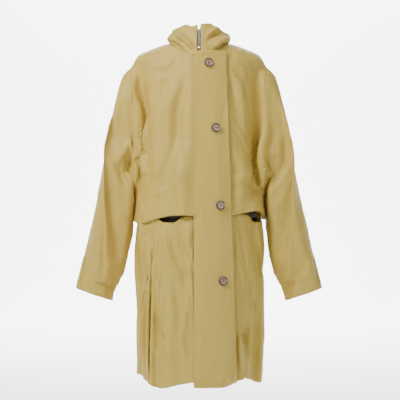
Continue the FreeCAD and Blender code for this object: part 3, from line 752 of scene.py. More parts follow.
places, sides, top_faces, seams = bodice_pattern()
top = inflate(places, sides, seams)
FORM_LEVELS = (  # level, and how far the body is drawn in there
    (-0.461, 0.006), (-0.4, 0.006), (-0.3, 0.006), (-0.215, 0.006), (-0.12, 0.006), (-0.04, 0.004),
    (-0.027, 0.004), (-0.0141, 0.003), (-0.0001, 0.004), (0.0219, 0.01), (0.0295, 0.012),
)
pinned, target = pin_top(places, sides, top)
form = dress_form(bodice, FORM_LEVELS, 0.009, "form")
arms = dress_arms(30)
top = simulate(new_mesh("draping", top, top_faces), pinned, 55, 30, 0.4, target, 30)
for hidden in (form, *arms):
    bpy.data.objects.remove(hidden)

# smooth along the top of the sleeve and over the shoulder pad
flat_top = np.stack((np.abs(places[:, 0]), places[:, 1]), 1)
sleeve_seam = seam_lines()[0]
near_seam = 1 - smoothstep(distance(flat_top, sleeve_seam), 0.015, 0.06)
over_shoulder = near_seam * smoothstep(flat_top[:, 0], 0.185, 0.2)
top = smoothed(top, top_faces, 0.6 * over_shoulder * (pinned == 0), 12)
shoulder_point = np.hypot(np.abs(top[:, 0]) - 0.195, top[:, 2] + 0.03)
top = smoothed(top, top_faces, 0.5 * np.exp(-((shoulder_point / 0.02) ** 2)), 6)

# the front and the back of each sleeve stay apart
all_seams = np.minimum(distance(flat_top, sleeve_seam), distance(flat_top, seam_lines()[2]))
apart = np.minimum(0.007, 0.35 * all_seams) * smoothstep(flat_top[:, 0], 0.165, 0.19)
outwards = (top[:, 1] - shoulder.y) * sides
crossed = (sides != 0) & (flat_top[:, 0] > 0.165) & (outwards < apart)
top[crossed, 1] = shoulder.y + sides[crossed] * apart[crossed]
top = smoothed(top, top_faces, 0.5 * (flat_top[:, 0] > 0.2) * (pinned == 0), 2)

# the wearer's right front rises to meet the placket
LAP_RISE = 0.0085
rise = smoothstep(top[:, 0], -0.085, -0.018) * (top[:, 0] < 0) * np.clip(-sides, 0, 1)
top[:, 1] -= LAP_RISE * rise * smoothstep(-top[:, 2], -0.005, 0.02)

# the loose hem dips and lifts
HEM_ACROSS = (
    -0.3, -0.19, -0.179, -0.162, -0.113, -0.077, -0.014, 0.003, 0.088, 0.144, 0.178, 0.188, 0.197, 0.3,
)
HEM_LIFT = (
    -0.002, -0.003, -0.005, -0.013, 0.005, 0.013, 0.012, 0.01, 0.013, 0.023, 0.026, 0.008, 0, 0,
)
body_part = np.abs(places[:, 0]) < 0.2
lift = np.interp(top[:, 0], HEM_ACROSS, HEM_LIFT) * np.clip(-sides, 0, 1)
low = 1 - smoothstep(top[:, 2], HEM_LEVEL, -0.36)
top[:, 2] += lift * low * body_part
bulge = np.exp(-(((top[:, 0] + 0.08) / 0.035) ** 2)) + np.exp(-(((top[:, 0] - 0.16) / 0.03) ** 2))
top[:, 1] -= 0.008 * bulge * low * body_part * np.clip(-sides, 0, 1)


def ridge(points, line, width):
    """1 on a line given as (x, z) points, seen from the front, fading to 0 at its ends and beside it."""
    flat = points[:, [0, 2]]
    line = np.asarray(line, float)
    gap = distance(flat, line)
    length = np.linalg.norm(np.diff(line, axis=0), axis=1).sum()
    ends = np.minimum(np.linalg.norm(flat - line[0], axis=1), np.linalg.norm(flat - line[-1], axis=1))
    return np.exp(-((gap / width) ** 2)) * smoothstep(ends, 0, 0.35 * length)


FOLD_HEIGHT = 1.7  # times the height that each fold states


def folded(points, normals, folds, mask):
    """Points moved out along their normals by folds of (line, width, height)."""
    total = np.zeros(len(points))
    for line, width, height in folds:
        total += FOLD_HEIGHT * height * ridge(points, line, width)
    return points + normals * (total * mask)[:, None]


TOP_FOLDS = (
    (((-0.170, -0.09), (-0.166, -0.2), (-0.160, -0.35)), 0.008, 0.012),
    (((-0.154, -0.08), (-0.150, -0.2), (-0.144, -0.33)), 0.008, -0.010),
    (((-0.19, -0.12), (-0.184, -0.25), (-0.178, -0.33)), 0.007, -0.008),
    (((0.180, -0.2), (0.174, -0.3), (0.177, -0.42)), 0.008, 0.011),
    (((0.163, -0.18), (0.158, -0.3), (0.153, -0.42)), 0.008, -0.009),
    (((-0.05, -0.04), (-0.085, -0.16), (-0.08, -0.32)), 0.012, 0.005),
    (((-0.03, -0.06), (-0.06, -0.17), (-0.055, -0.3)), 0.01, -0.004),
    (((-0.1, -0.06), (-0.118, -0.2), (-0.11, -0.42)), 0.012, 0.005),
    (((-0.04, -0.24), (-0.055, -0.34), (-0.045, -0.45)), 0.014, 0.006),
    (((-0.02, -0.3), (-0.07, -0.37), (-0.13, -0.4)), 0.008, 0.004),
    (((0.1, -0.05), (0.115, -0.14), (0.13, -0.26)), 0.011, 0.005),
    (((0.12, -0.26), (0.115, -0.36), (0.12, -0.45)), 0.013, 0.006),
    (((0.17, -0.3), (0.13, -0.34), (0.09, -0.36)), 0.008, 0.004),
    (((-0.06, -0.02), (-0.1, -0.04), (-0.14, -0.04)), 0.008, 0.004),
    (((-0.055, -0.035), (-0.09, -0.07), (-0.13, -0.085)), 0.008, 0.003),
    (((0.075, -0.02), (0.11, -0.04), (0.15, -0.05)), 0.008, 0.004),
    (((0.07, -0.04), (0.1, -0.08), (0.14, -0.1)), 0.008, 0.003),
    (((-0.165, -0.32), (-0.13, -0.335), (-0.1, -0.33)), 0.006, 0.004),
)
normals = point_normals(top, top_faces)
in_front = np.clip(-normals[:, 1] * 2, 0, 1) * (np.abs(places[:, 0]) < 0.22) * (pinned == 0)
top = folded(top, normals, TOP_FOLDS, in_front)
ripple = 0.0048 * rough(top, (22, 22, 9)) + 0.0018 * rough(top, (55, 55, 30), (7, 0, 0))
top += normals * (ripple * (pinned == 0))[:, None]

# ------------------------------------------------------------ bodice and sleeves

normals = point_normals(top, top_faces)
corner_x = places[np.array(top_faces), 0]
corner_side = sides[np.array(top_faces)]
face_side = np.sign(corner_side.sum(1) + 1e-9)
beyond = np.abs(corner_x).min(1) > 0.197
sleeve_parts = {}
for name, sign in SIDES.items():
    chosen = beyond & (corner_x.mean(1) * sign > 0)
    sleeve_parts[name] = [face for face, keep in zip(top_faces, chosen) if keep]
bodice_parts = {}
for name, keep in (
    ("bodice_front_right", (face_side < 0) & (corner_x.mean(1) < 0)),
    ("bodice_front_left", (face_side < 0) & (corner_x.mean(1) > 0)),
    ("bodice_back", face_side > 0),
):
    bodice_parts[name] = [face for face, k in zip(top_faces, keep & ~beyond) if k]

CLOTH = 0.0012
FACING_CLOTH = 0.0008
LINING_CLOTH = 0.0006
COAT_SLOT = "raincoat_cloth"
body_points = {int(i) for faces in bodice_parts.values() for face in faces for i in face}
for name, sign in SIDES.items():
    shared = sorted(body_points & {int(i) for face in sleeve_parts[name] for i in face})
    edge = np.abs(top[shared, 0]).max() + 0.001


def bend(thing):
    """Bake the piece's place into its points."""
    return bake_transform(thing)


for name, faces in bodice_parts.items():
    worn(part_of(name, top, places, faces, COAT, COAT_SLOT, CLOTH), name)
for name, faces in sleeve_parts.items():
    piece = part_of(f"sleeve_{name}", top, places, faces, COAT, COAT_SLOT, CLOTH, layers=2)
    bend(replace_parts(piece, f"sleeve_front_{name}", f"sleeve_back_{name}"))

across_cuff = distance(flat_top, seam_lines()[1])


def inner_shell(profile, eases, levels, inset, start, end, columns):
    """A lining: a smooth shell inside the coat, from one angle to another, from the centre front."""
    turn = np.linspace(start, end, columns)
    heights, widths = zip(*sorted(eases))
    rows = []
    for level in levels:
        drawn = inset + np.interp(level, heights, widths)
        front, back = front_line(level) + 0.005 + inset / 2, profile.back(level) - drawn
        middle, b = (front + back) / 2, (back - front) / 2
        a = profile.half_width(level) - drawn
        rows.append(np.stack((-a * np.sin(turn), middle - b * np.cos(turn), np.full(columns, level)), 1))
    return np.array(rows)


OPEN = 0.16  # the linings stop short of the zip by this angle
SHARES = {
    "front_right": (OPEN, math.pi / 2, 24),
    "back": (math.pi / 2, 1.5 * math.pi, 48),
    "front_left": (1.5 * math.pi, 2 * math.pi - OPEN, 24),
}
for place, (start, end, columns) in SHARES.items():
    grid = inner_shell(bodice, FORM_LEVELS, np.linspace(-0.43, -0.03, 24), 0.024, start, end, columns)
    piece = grid_piece(f"lining_{place}", grid, LINING, "lining_cloth", LINING_CLOTH, 0)
    worn(piece, f"lining_{place}")
for name, sign in SIDES.items():
    turn = np.linspace(0, 2 * math.pi, 33)
    rows = []
    for level in np.linspace(-0.6, -0.12, 28):
        middle = (sleeve.inner(level) + sleeve.half_width(level)) / 2
        breadth = (sleeve.half_width(level) - sleeve.inner(level)) / 2 * 0.52
        x = sign * (middle + breadth * np.cos(turn))
        rows.append(np.stack((x, shoulder.y + 0.027 * np.sin(turn), np.full(33, level)), 1))
    grid = np.array(rows)
    piece = grid_piece(f"sleeve_lining_{name}", grid, LINING, "lining_cloth", LINING_CLOTH, 0)
    bend(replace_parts(piece, f"sleeve_lining_{name}"))
    faces = [f for f in sleeve_parts[name] if across_cuff[list(f)].max() < 0.04]
    piece = part_of(
        f"cuff_facing_{name}", top, places, faces, COAT, COAT_SLOT, FACING_CLOTH, -0.0022, normals, layers=2
    )
    bend(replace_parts(piece, f"cuff_facing_{name}"))
hem_faces = [f for part in bodice_parts.values() for f in part if places[list(f), 1].max() < HEM_LEVEL + 0.03]
piece = part_of(
    "bodice_hem_facing", top, places, hem_faces, COAT, COAT_SLOT, FACING_CLOTH, -0.0022, normals, layers=2
)
worn(piece, "bodice_hem_facing")

# --------------------------------------------------------------------- the skirt

SKIRT_TOP = HEM_LEVEL + 0.018
SKIRT_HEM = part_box("skirt_back")[0].z
SKIRT_COLUMNS = 230
SKIRT_ROWS = 54


def skirt_ring(z, theta, inset):
    """Points of the skirt at a level, from the centre front round by the wearer's right."""
    a = skirt.half_width(z) - inset
    front, back = front_line(z) + inset, skirt.back(z) - inset
    middle, b = (front + back) / 2, (back - front) / 2
    return np.stack((-a * np.sin(theta), middle - b * np.cos(theta), np.broadcast_to(z, np.shape(theta))), -1)


def skirt_start():
    """The gathered skirt before it drapes: pleats at the top opening into broad folds."""
    share = np.linspace(0, 1, SKIRT_ROWS)
    levels = SKIRT_TOP + (SKIRT_HEM - SKIRT_TOP) * share
    first = math.asin(CENTRE_EDGE / 0.18)
    theta = np.linspace(first, 2 * math.pi - first, SKIRT_COLUMNS)
    wander = np.array([noise.noise(Vector((3 * math.cos(t), 3 * math.sin(t), 0.3))) for t in theta])
    edge = smoothstep(np.minimum(theta - first, 2 * math.pi - first - theta), 0, 0.1)
    grid = []
    for s, z in zip(share, levels):
        inset = 0.008 * (1 - smoothstep(s, 0.02, 0.22))
        ring = skirt_ring(z, theta, inset)
        nxt = skirt_ring(z, theta + 0.01, inset)
        out = np.stack((-(nxt - ring)[:, 1], (nxt - ring)[:, 0], np.zeros(len(theta))), 1)
        out /= -np.linalg.norm(out, axis=1, keepdims=True)
        sway = 0.5 * noise.noise(Vector((0.3, 0.9, 6 * z)))
        fine = np.sin(19 * theta + 6.0 * wander) * (0.6 + 0.9 * wander)
        broad = np.sin(8 * theta + 4.5 * wander + 0.7 + sway) * (0.75 + 0.8 * wander[::-1])
        gather = 0.010 * (1 - smoothstep(s, 0.08, 0.6)) * fine
        fold = (0.003 + 0.017 * smoothstep(s, 0.03, 0.7)) * broad
        ring += out * ((gather + fold) * edge)[:, None]
        dips = np.exp(-(((ring[:, 0] + 0.082) / 0.034) ** 4)) + np.exp(-(((ring[:, 0] - 0.162) / 0.024) ** 4))
        ring[:, 2] -= 0.024 * dips * (ring[:, 1] < 0) * (1 - smoothstep(s, 0, 0.15))
        grid.append(ring)
    return np.array(grid)


skirt_grid = skirt_start()
skirt_faces = grid_faces(SKIRT_ROWS, SKIRT_COLUMNS)
held = np.zeros((SKIRT_ROWS, SKIRT_COLUMNS))
held[0] = 1
held[:, :2] = held[:, -2:] = 1
HIP_LEVELS = ((-0.9, 0.06), (-0.74, 0.05), (-0.62, 0.03), (-0.56, 0.022), (-0.45, 0.024))
hips = dress_form(skirt, HIP_LEVELS, 0.006, "hips")
draped = simulate(new_mesh("skirting", skirt_grid.reshape(-1, 3), skirt_faces), held.ravel(), 34, 25, 0.5)
skirt_grid = draped.reshape(skirt_grid.shape)
bpy.data.objects.remove(hips)

SKIRT_ACROSS = (-0.3, -0.19, -0.15, -0.108, -0.06, -0.016, 0.05, 0.13, 0.155, 0.2, 0.3)
SKIRT_HEMS = (-0.9, -0.876, -0.903, -0.919, -0.905, -0.896, -0.908, -0.892, -0.912, -0.915, -0.905)
hem_row = skirt_grid[-1]
hem_behind = -0.905 + 0.008 * np.sin(hem_row[:, 0] * 25)
wanted = np.where(hem_row[:, 1] < 0.02, np.interp(hem_row[:, 0], SKIRT_ACROSS, SKIRT_HEMS), hem_behind)
shares = np.linspace(0, 1, SKIRT_ROWS)[:, None]
skirt_grid[:, :, 2] += (wanted - hem_row[:, 2])[None, :] * smoothstep(shares, 0.3, 1)
skirt_points = skirt_grid.reshape(-1, 3)
skirt_faces, normals_out = facing_out(skirt_points, skirt_faces, -0.1)

SKIRT_FOLDS = (
    (((-0.047, -0.462), (-0.05, -0.53), (-0.006, -0.613)), 0.007, -0.006),
    (((-0.03, -0.466), (-0.028, -0.53), (-0.004, -0.59)), 0.009, 0.005),
    (((-0.13, -0.468), (-0.136, -0.51), (-0.12, -0.6)), 0.006, -0.004),
    (((0.148, -0.475), (0.176, -0.65), (0.191, -0.78), (0.198, -0.82)), 0.008, -0.006),
    (((0.125, -0.475), (0.145, -0.62), (0.165, -0.8)), 0.01, 0.005),
    (((-0.12, -0.466), (-0.11, -0.56), (-0.1, -0.7)), 0.012, 0.005),
    (((-0.08, -0.6), (-0.075, -0.72), (-0.085, -0.9)), 0.015, 0.006),
    (((-0.16, -0.62), (-0.155, -0.75), (-0.16, -0.88)), 0.014, 0.006),
    (((0.12, -0.74), (0.11, -0.8), (0.118, -0.88)), 0.007, 0.005),
    (((0.135, -0.72), (0.128, -0.79), (0.138, -0.87)), 0.006, -0.004),
    (((-0.157, -0.615), (-0.139, -0.628), (-0.122, -0.64)), 0.005, -0.006),
    (((0.168, -0.596), (0.18, -0.6), (0.192, -0.604)), 0.005, -0.006),
    (((-0.15, -0.64), (-0.14, -0.655), (-0.128, -0.65)), 0.005, 0.004),
    (((-0.1, -0.47), (-0.085, -0.55), (-0.055, -0.62), (-0.05, -0.7)), 0.009, 0.006),
    (((-0.085, -0.468), (-0.07, -0.54), (-0.04, -0.6), (-0.036, -0.68)), 0.006, -0.005),
    (((-0.145, -0.5), (-0.125, -0.6), (-0.1, -0.66), (-0.06, -0.7)), 0.008, 0.005),
    (((-0.12, -0.7), (-0.1, -0.78), (-0.06, -0.82), (-0.03, -0.83)), 0.008, -0.005),
    (((-0.14, -0.78), (-0.11, -0.82), (-0.09, -0.88)), 0.008, 0.005),
    (((-0.03, -0.68), (-0.045, -0.76), (-0.04, -0.86)), 0.008, 0.005),
    (((0.1, -0.48), (0.104, -0.56), (0.128, -0.66)), 0.007, 0.005),
    (((0.11, -0.62), (0.13, -0.7), (0.165, -0.76)), 0.007, 0.005),
    (((0.105, -0.7), (0.13, -0.8), (0.17, -0.86)), 0.008, -0.005),
    (((0.165, -0.61), (0.176, -0.63), (0.188, -0.625)), 0.005, 0.004),
)
free = 1 - held.ravel()
front_side = np.clip(-normals_out[:, 1] * 2, 0, 1) * free
skirt_points = folded(skirt_points, normals_out, SKIRT_FOLDS, front_side)
ripple = 0.0056 * rough(skirt_points, (20, 20, 6), (0, 0, 4))
ripple += 0.0018 * rough(skirt_points, (60, 60, 30), (0, 5, 0))
skirt_points += normals_out * (ripple * free)[:, None]
skirt_grid = skirt_points.reshape(skirt_grid.shape)
skirt_flat, _ = grid_uv(skirt_grid)
normals_out = point_normals(skirt_points, skirt_faces)

QUARTER = SKIRT_COLUMNS // 4
columns_of = {
    "front_right": range(0, QUARTER),
    "back": range(QUARTER, SKIRT_COLUMNS - 1 - QUARTER),
    "front_left": range(SKIRT_COLUMNS - 1 - QUARTER, SKIRT_COLUMNS - 1),
}


def skirt_part(name, columns, rows, thickness, shift=0.0):
    faces = [skirt_faces[r * (SKIRT_COLUMNS - 1) + c] for r in rows for c in columns]
    piece = part_of(
        name, skirt_points, skirt_flat, faces, COAT, COAT_SLOT, thickness, shift, normals_out
    )
    worn(piece, name)


rows = range(SKIRT_ROWS - 1)
for place, columns in columns_of.items():
    skirt_part(f"skirt_{place}", columns, rows, CLOTH)
lining_levels = np.linspace(SKIRT_HEM + 0.045, SKIRT_TOP - 0.01, 24)
for place, (start, end, columns) in SHARES.items():
    name = f"skirt_lining_{place}"
    grid = inner_shell(skirt, HIP_LEVELS, lining_levels, 0.022, start, end, columns)
    worn(grid_piece(name, grid, LINING, "lining_cloth", LINING_CLOTH, 0), name)
skirt_part("skirt_hem_facing", range(3, SKIRT_COLUMNS - 4), rows[-4:], FACING_CLOTH, -0.0024)

# the dark band between the bodice and the gathers: dark lining, and painted shade for the gap under the
# bodice hem
band_levels = np.linspace(-0.395, SKIRT_TOP - 0.012, 9)
band_turn = np.linspace(0.16, 2 * math.pi - 0.16, 120)
band = np.array([skirt_ring(min(z, -0.402), band_turn, 0.017) for z in band_levels])
band[:, :, 2] = band_levels[:, None]
lean = front_line(band_levels) - front_line(np.minimum(band_levels, -0.402))
band[:, :, 1] += lean[:, None] * (band[:, :, 1] < 0)
band += 0.0015 * np.sin(band_turn * 40)[None, :, None] * np.array((0, 1, 0))
worn(grid_piece("waist_band", band, LINING, "lining_cloth", 0.0012, 0), "waist_band")


def surfaces(*things):
    """The finished surfaces of some pieces, for finding how far forward they reach."""
    bpy.context.view_layer.update()
    graph = bpy.context.evaluated_depsgraph_get()
    return [BVHTree.FromObject(thing, graph) for thing in things]


def cad_mesh(name):
    mesh = frame["nodes"][name].data
    return [tuple(v.co) for v in mesh.vertices], [tuple(p.vertices) for p in mesh.polygons]


def front_of(trees, x, z, default):
    """How far forward the surfaces reach at a place seen from the front."""
    best = default
    for tree in trees:
        spot = tree.ray_cast(Vector((x, -1, z)), Vector((0, 1, 0)))[0]
        if spot is not None:
            best = min(best, spot.y)
    return best


# pocket mouths and bags
WELT_SECTION = ((-0.007, 0.0004), (-0.0045, -0.0006), (-0.001, -0.0009), (0.0015, -0.0003), (0.003, 0.0008))
for name, sign in SIDES.items():
    low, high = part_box(f"pocket_welt_{name}")
    cloth = surfaces(made[f"skirt_front_{name}"])
    rows_across = []
    for t in np.linspace(0, 1, 14):
        z = high.z + (low.z - high.z) * t
        centre = sign * (0.148 + 0.033 * (t - 0.5))
        cross = []
        for dx, dy in WELT_SECTION:
            y = front_of(cloth, centre + dx, z, 0.1)
            cross.append((centre + dx, y + dy * (1 - abs(2 * t - 1) ** 6), z))
        rows_across.append(cross)
    welt = grid_piece(f"pocket_welt_{name}", np.array(rows_across), COAT, COAT_SLOT, 0.0012, 1, True)
    worn(welt, f"pocket_welt_{name}")
    low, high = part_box(f"pocket_bag_{name}")
    rows_across = []
    for t in np.linspace(0, 1, 15):
        z = high.z - 0.004 + (low.z - high.z + 0.008) * t
        narrow = 0.4 + 0.6 * math.sin(math.pi * (0.12 + 0.88 * t)) ** 0.4
        cross = []
        for a in np.linspace(0, 2 * math.pi, 29)[:-1]:
            x = sign * 0.112 + 0.036 * narrow * math.cos(a)
            y = front_of(cloth, x, z, 0.1) + 0.016 + 0.0024 * math.sin(a)
            cross.append((x, y, z))
        rows_across.append(cross)
    grid = np.array(rows_across)
    uv, size = grid_uv(grid)
    faces = grid_faces(15, 28, True)
    bag = build(f"pocket_bag_{name}", grid.reshape(-1, 3), faces, LINING, "lining_cloth", uv)
    thicken(bag, LINING_CLOTH, 0)
    worn(bag, f"pocket_bag_{name}")

# --------------------------------------------------------------------- the collar

COLLAR_COLUMNS = 150
COLLAR_ROWS = 26
COLLAR_FOLDS = (
    (((-0.082, 0.07), (-0.05, 0.047), (-0.024, 0.018), (-0.012, -0.006)), 0.0085, 0.010),
    (((-0.056, 0.06), (-0.035, 0.042), (-0.02, 0.03)), 0.0045, -0.006),
    (((-0.06, 0.042), (-0.035, 0.02), (-0.014, -0.006)), 0.005, -0.006),
    (((-0.09, 0.036), (-0.062, 0.016), (-0.04, 0.0)), 0.006, -0.007),
    (((0.02, 0.03), (0.04, 0.046), (0.066, 0.062)), 0.006, -0.006),
    (((0.02, 0.05), (0.045, 0.062), (0.06, 0.075)), 0.008, 0.005),
    (((0.04, -0.004), (0.058, 0.01), (0.08, 0.03)), 0.006, -0.008),
    (((0.03, 0.008), (0.055, 0.028), (0.088, 0.046)), 0.009, 0.007),
)


def collar_grid():
    """The funnel collar, from its edge on the wearer's right round to the left."""
    first = 0.06
    theta = np.linspace(first, 2 * math.pi - first, COLLAR_COLUMNS)
    rise = smoothstep(np.abs(np.sin(theta / 2)), 0.15, 0.62)
    base = -0.007 + (NECK_LEVEL + 0.005) * rise
    x_ways = -np.sin(theta)
    rim_across = (-1.0, -0.85, -0.6, -0.3, 0.0, 0.3, 0.6, 0.85, 1.0)
    rim_heights = (0.066, 0.076, 0.079, 0.073, 0.078, 0.08, 0.081, 0.07, 0.058)
    rim_behind = 0.074 - 0.008 * np.abs(x_ways)
    rim = np.where(np.cos(theta) > 0, np.interp(x_ways, rim_across, rim_heights), rim_behind)
    rows = []
    for v in np.linspace(0, 1, COLLAR_ROWS):
        z = base + (rim - base) * v
        half = np.interp(v, (0, 0.35, 0.7, 0.9, 1), (0.082, 0.09, 0.084, 0.072, 0.062))
        back = np.interp(v, (0, 0.4, 0.8, 1), (0.062, 0.066, 0.056, 0.05))
        bulge = 0.004 * math.sin(math.pi * min(v * 1.2, 1))
        cover = 0.0135 * (1 - v) ** 1.5 * np.exp(-(((x_ways - 0.35) / 0.75) ** 4)) * (np.cos(theta) > 0)
        front = front_line(z) - bulge - cover
        middle, b = (front + back) / 2, (back - front) / 2
        side_half = half + 0.004 * np.sin(3 * theta + 1) * v
        ring = np.stack((side_half * x_ways, middle - b * np.cos(theta), z), 1)
        rows.append(ring)
    return np.array(rows)


collar = collar_grid()
points = collar.reshape(-1, 3)
collar_faces = [face[::-1] for face in grid_faces(COLLAR_ROWS, COLLAR_COLUMNS)]
collar_faces, normal = facing_out(points, collar_faces, -0.05)
v = np.repeat(np.linspace(0, 1, COLLAR_ROWS), COLLAR_COLUMNS)
column = np.arange(COLLAR_COLUMNS)
near_edge = np.tile(smoothstep(np.minimum(column, column[::-1]), 0, 5), COLLAR_ROWS)
in_front = np.clip(-normal[:, 1] * 2.5, 0, 1) * smoothstep(v, 0.0, 0.12)
points = folded(points, normal, COLLAR_FOLDS, in_front * (0.35 + 0.65 * near_edge))
ripple = 0.004 * rough(points, (30, 30, 40), (0, 3, 0)) + 0.0014 * rough(points, (80, 80, 90))
points += normal * (ripple * smoothstep(v, 0, 0.3) * (0.3 + 0.7 * near_edge))[:, None]
normal = point_normals(points, collar_faces)
collar_uv, collar_size = grid_uv(points.reshape(collar.shape))
for name, shift, thickness in (("collar_outer", 0.0, 0.0014), ("collar_facing", -0.0026, 0.0012)):
    piece = build(name, points + normal * shift, collar_faces, COAT, COAT_SLOT, collar_uv)
    thicken(piece, thickness)
    worn(piece, name)

# -------------------------------------------------------------------- the placket

PLACKET_COLUMNS = 22
PLACKET_ROWS = 118
placket_low, placket_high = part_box("front_placket")
FRONTS = ("bodice_front_right", "bodice_front_left", "skirt_front_right", "skirt_front_left")
fronts = surfaces(*(made[name] for name in FRONTS))
cad_placket = [BVHTree.FromPolygons(*cad_mesh("front_placket"))]
LAP = 0.0022  # how far the placket stands off the cloth
EDGE_AT_TOP = 0.075


def placket_edge(z):
    """Where the free edge of the placket runs."""
    share = (placket_high.z - z) / (placket_high.z - placket_low.z)
    return EDGE_AT_TOP + (placket_high.x - EDGE_AT_TOP) * share


def placket_grid():
    """The placket laid over the coat: on the cloth at its sewn edge, and off it over the zip."""
    levels = np.linspace(placket_high.z + 0.006, placket_low.z, PLACKET_ROWS)
    depth = np.zeros((PLACKET_ROWS, PLACKET_COLUMNS))
    across = np.zeros_like(depth)
    for r, z in enumerate(levels):
        across[r] = np.linspace(placket_low.x, placket_edge(z), PLACKET_COLUMNS)
        for c, x in enumerate(across[r]):
            depth[r, c] = front_of(cad_placket, x, z, np.inf)
    for c in range(PLACKET_COLUMNS):
        good = np.isfinite(depth[:, c])
        depth[:, c] = np.interp(-levels, -levels[good], depth[good, c])
    reach = [[front_of(fronts, x, z, 0.05) for x in row] for row, z in zip(across, levels)]
    cloth = np.minimum(reach, np.where(np.abs(across) < 0.02, front_line(levels)[:, None], 0.05)) - LAP
    share = np.linspace(0, 1, PLACKET_COLUMNS)[None, :]
    hold = smoothstep(across - placket_low.x, 0.0, 0.007) * (1 - 0.75 * smoothstep(share, 0.72, 1.0))
    depth = np.minimum(depth * hold + cloth * (1 - hold), cloth)
    for _ in range(6):
        wide = np.pad(depth, 1, mode="edge")
        mean = (wide[:-2, 1:-1] + wide[2:, 1:-1] + wide[1:-1, :-2] + wide[1:-1, 2:]) / 4
        depth = np.minimum(mean, cloth + 0.001)
    spots = np.stack((across, 0 * across, np.broadcast_to(levels[:, None], across.shape)), 2).reshape(-1, 3)
    wrinkle = rough(spots, (26, 0, 12), (0, 0.5, 0)) + 0.4 * rough(spots, (70, 0, 40), (0, 2, 0))
    wrinkle = wrinkle.reshape(across.shape)
    edge = smoothstep(share, 0.75, 1)
    depth -= 0.0012 * (1 + wrinkle) + 0.002 * edge * (1 + wrinkle)
    return np.stack((across, depth, np.broadcast_to(levels[:, None], depth.shape)), 2)


placket = placket_grid()
placket_piece = grid_piece("front_placket", placket, COAT, COAT_SLOT, 0.0016, -1, True)
worn(placket_piece, "front_placket")


STITCH_WIDTH = 0.0007
STITCH_LENGTH = 0.0026
STITCH_GAP = 0.0011
FORWARD = np.array((0.0, -1.0, 0.0))


def stitch_row(path):
    """Points and faces of a row of stitches along a path on the front of the coat."""
    path = np.asarray(path, float)
    along = np.concatenate(([0], np.cumsum(np.linalg.norm(np.diff(path, axis=0), axis=1))))
    starts = np.arange(STITCH_GAP, along[-1] - STITCH_LENGTH, STITCH_LENGTH + STITCH_GAP)
    half = STITCH_WIDTH / 2
    verts, faces = [], []
    for start in starts:
        at = [start + t * STITCH_LENGTH for t in (0, 0.5, 1)]
        ends = [np.array([np.interp(t, along, path[:, k]) for k in range(3)]) for t in at]
        way = ends[2] - ends[0]
        way /= max(np.linalg.norm(way), 1e-9)
        beside = np.cross(FORWARD, way)
        base = len(verts)
        for end, fat, rise in zip(ends, (0.35, 1.0, 0.35), (-0.3, 0.45, -0.3)):
            for k in range(6):
                a = 2 * math.pi * k / 6
                out = 2 * half * rise + half * fat * math.sin(a)
                verts.append(end + beside * (half * fat * math.cos(a)) + FORWARD * out)
        faces += [tuple(base + i for i in face) for face in grid_faces(3, 6, True)]
        faces.append(tuple(base + k for k in range(6))[::-1])
        faces.append(tuple(base + 12 + k for k in range(6)))
    return verts, faces


def joined(shapes):
    """One list of points and one of faces from several (points, faces)."""
    verts, faces = [], []
    for more, corners in shapes:
        faces += [tuple(i + len(verts) for i in face) for face in corners]
        verts += more
    return np.array(verts), faces


def grid_row(grid, column, share):
    """A line down a grid between two columns."""
    return grid[:, column] * (1 - share) + grid[:, column + 1] * share


placket_lines = [grid_row(placket, 0, 0.5), grid_row(placket, PLACKET_COLUMNS - 3, 0.3)]
placket_lines.append(placket[-2] * 0.9 + placket[-3] * 0.1)
rows = [stitch_row(line + FORWARD * 0.0002) for line in placket_lines]
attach(build("placket_stitching", *joined(rows), THREAD, "thread"), "coat")

# --------------------------------------------------------------------- the buttons


def button_mesh(radius, thickness):
    """A dished button with a thick rim, facing +Z, lathed from (radius, height) shares."""
    turn = np.linspace(0, 2 * math.pi, 48, endpoint=False)
    rings = (
        (0.2, 0.62), (0.34, 0.60), (0.46, 0.63), (0.58, 0.62), (0.66, 0.68), (0.74, 0.92), (0.84, 1.0),
        (0.93, 0.97), (0.985, 0.8), (1.0, 0.52), (0.975, 0.24), (0.9, 0.06), (0.7, 0.0), (0.2, 0.0),
    )
    verts = [
        (r * radius * math.cos(t), r * radius * math.sin(t), h * thickness) for r, h in rings for t in turn
    ]
    faces = grid_faces(len(rings), len(turn), True)
    top_centre, low_centre = len(verts), len(verts) + 1
    verts += [(0, 0, 0.62 * thickness), (0, 0, 0)]
    last = (len(rings) - 1) * len(turn)
    for k in range(len(turn)):
        j = (k + 1) % len(turn)
        faces.append((top_centre, j, k))
        faces.append((low_centre, last + k, last + j))
    return np.array(verts), [face[::-1] for face in faces]


def drilled(thing, radius, spread, depth):
    """Cut four sewing holes through a button."""
    holes = []
    for quarter in range(4):
        a = math.pi / 4 + quarter * math.pi / 2
        turn = np.linspace(0, 2 * math.pi, 14, endpoint=False)
        centre = np.array((spread * math.cos(a), spread * math.sin(a), 0))
        ring = np.stack((radius * np.cos(turn), radius * np.sin(turn), 0 * turn), 1) + centre
        holes.append(rings_mesh("hole", [ring + (0, 0, -0.001), ring + (0, 0, depth + 0.001)]))
    for hole in holes:
        cut = thing.modifiers.new("Hole", "BOOLEAN")
        cut.object = hole
        cut.operation = "DIFFERENCE"
        cut.solver = "EXACT"
    graph = bpy.context.evaluated_depsgraph_get()
    mesh = bpy.data.meshes.new_from_object(thing.evaluated_get(graph))
    thing.modifiers.clear()
    thing.data = mesh
    for hole in holes:
        bpy.data.objects.remove(hole)


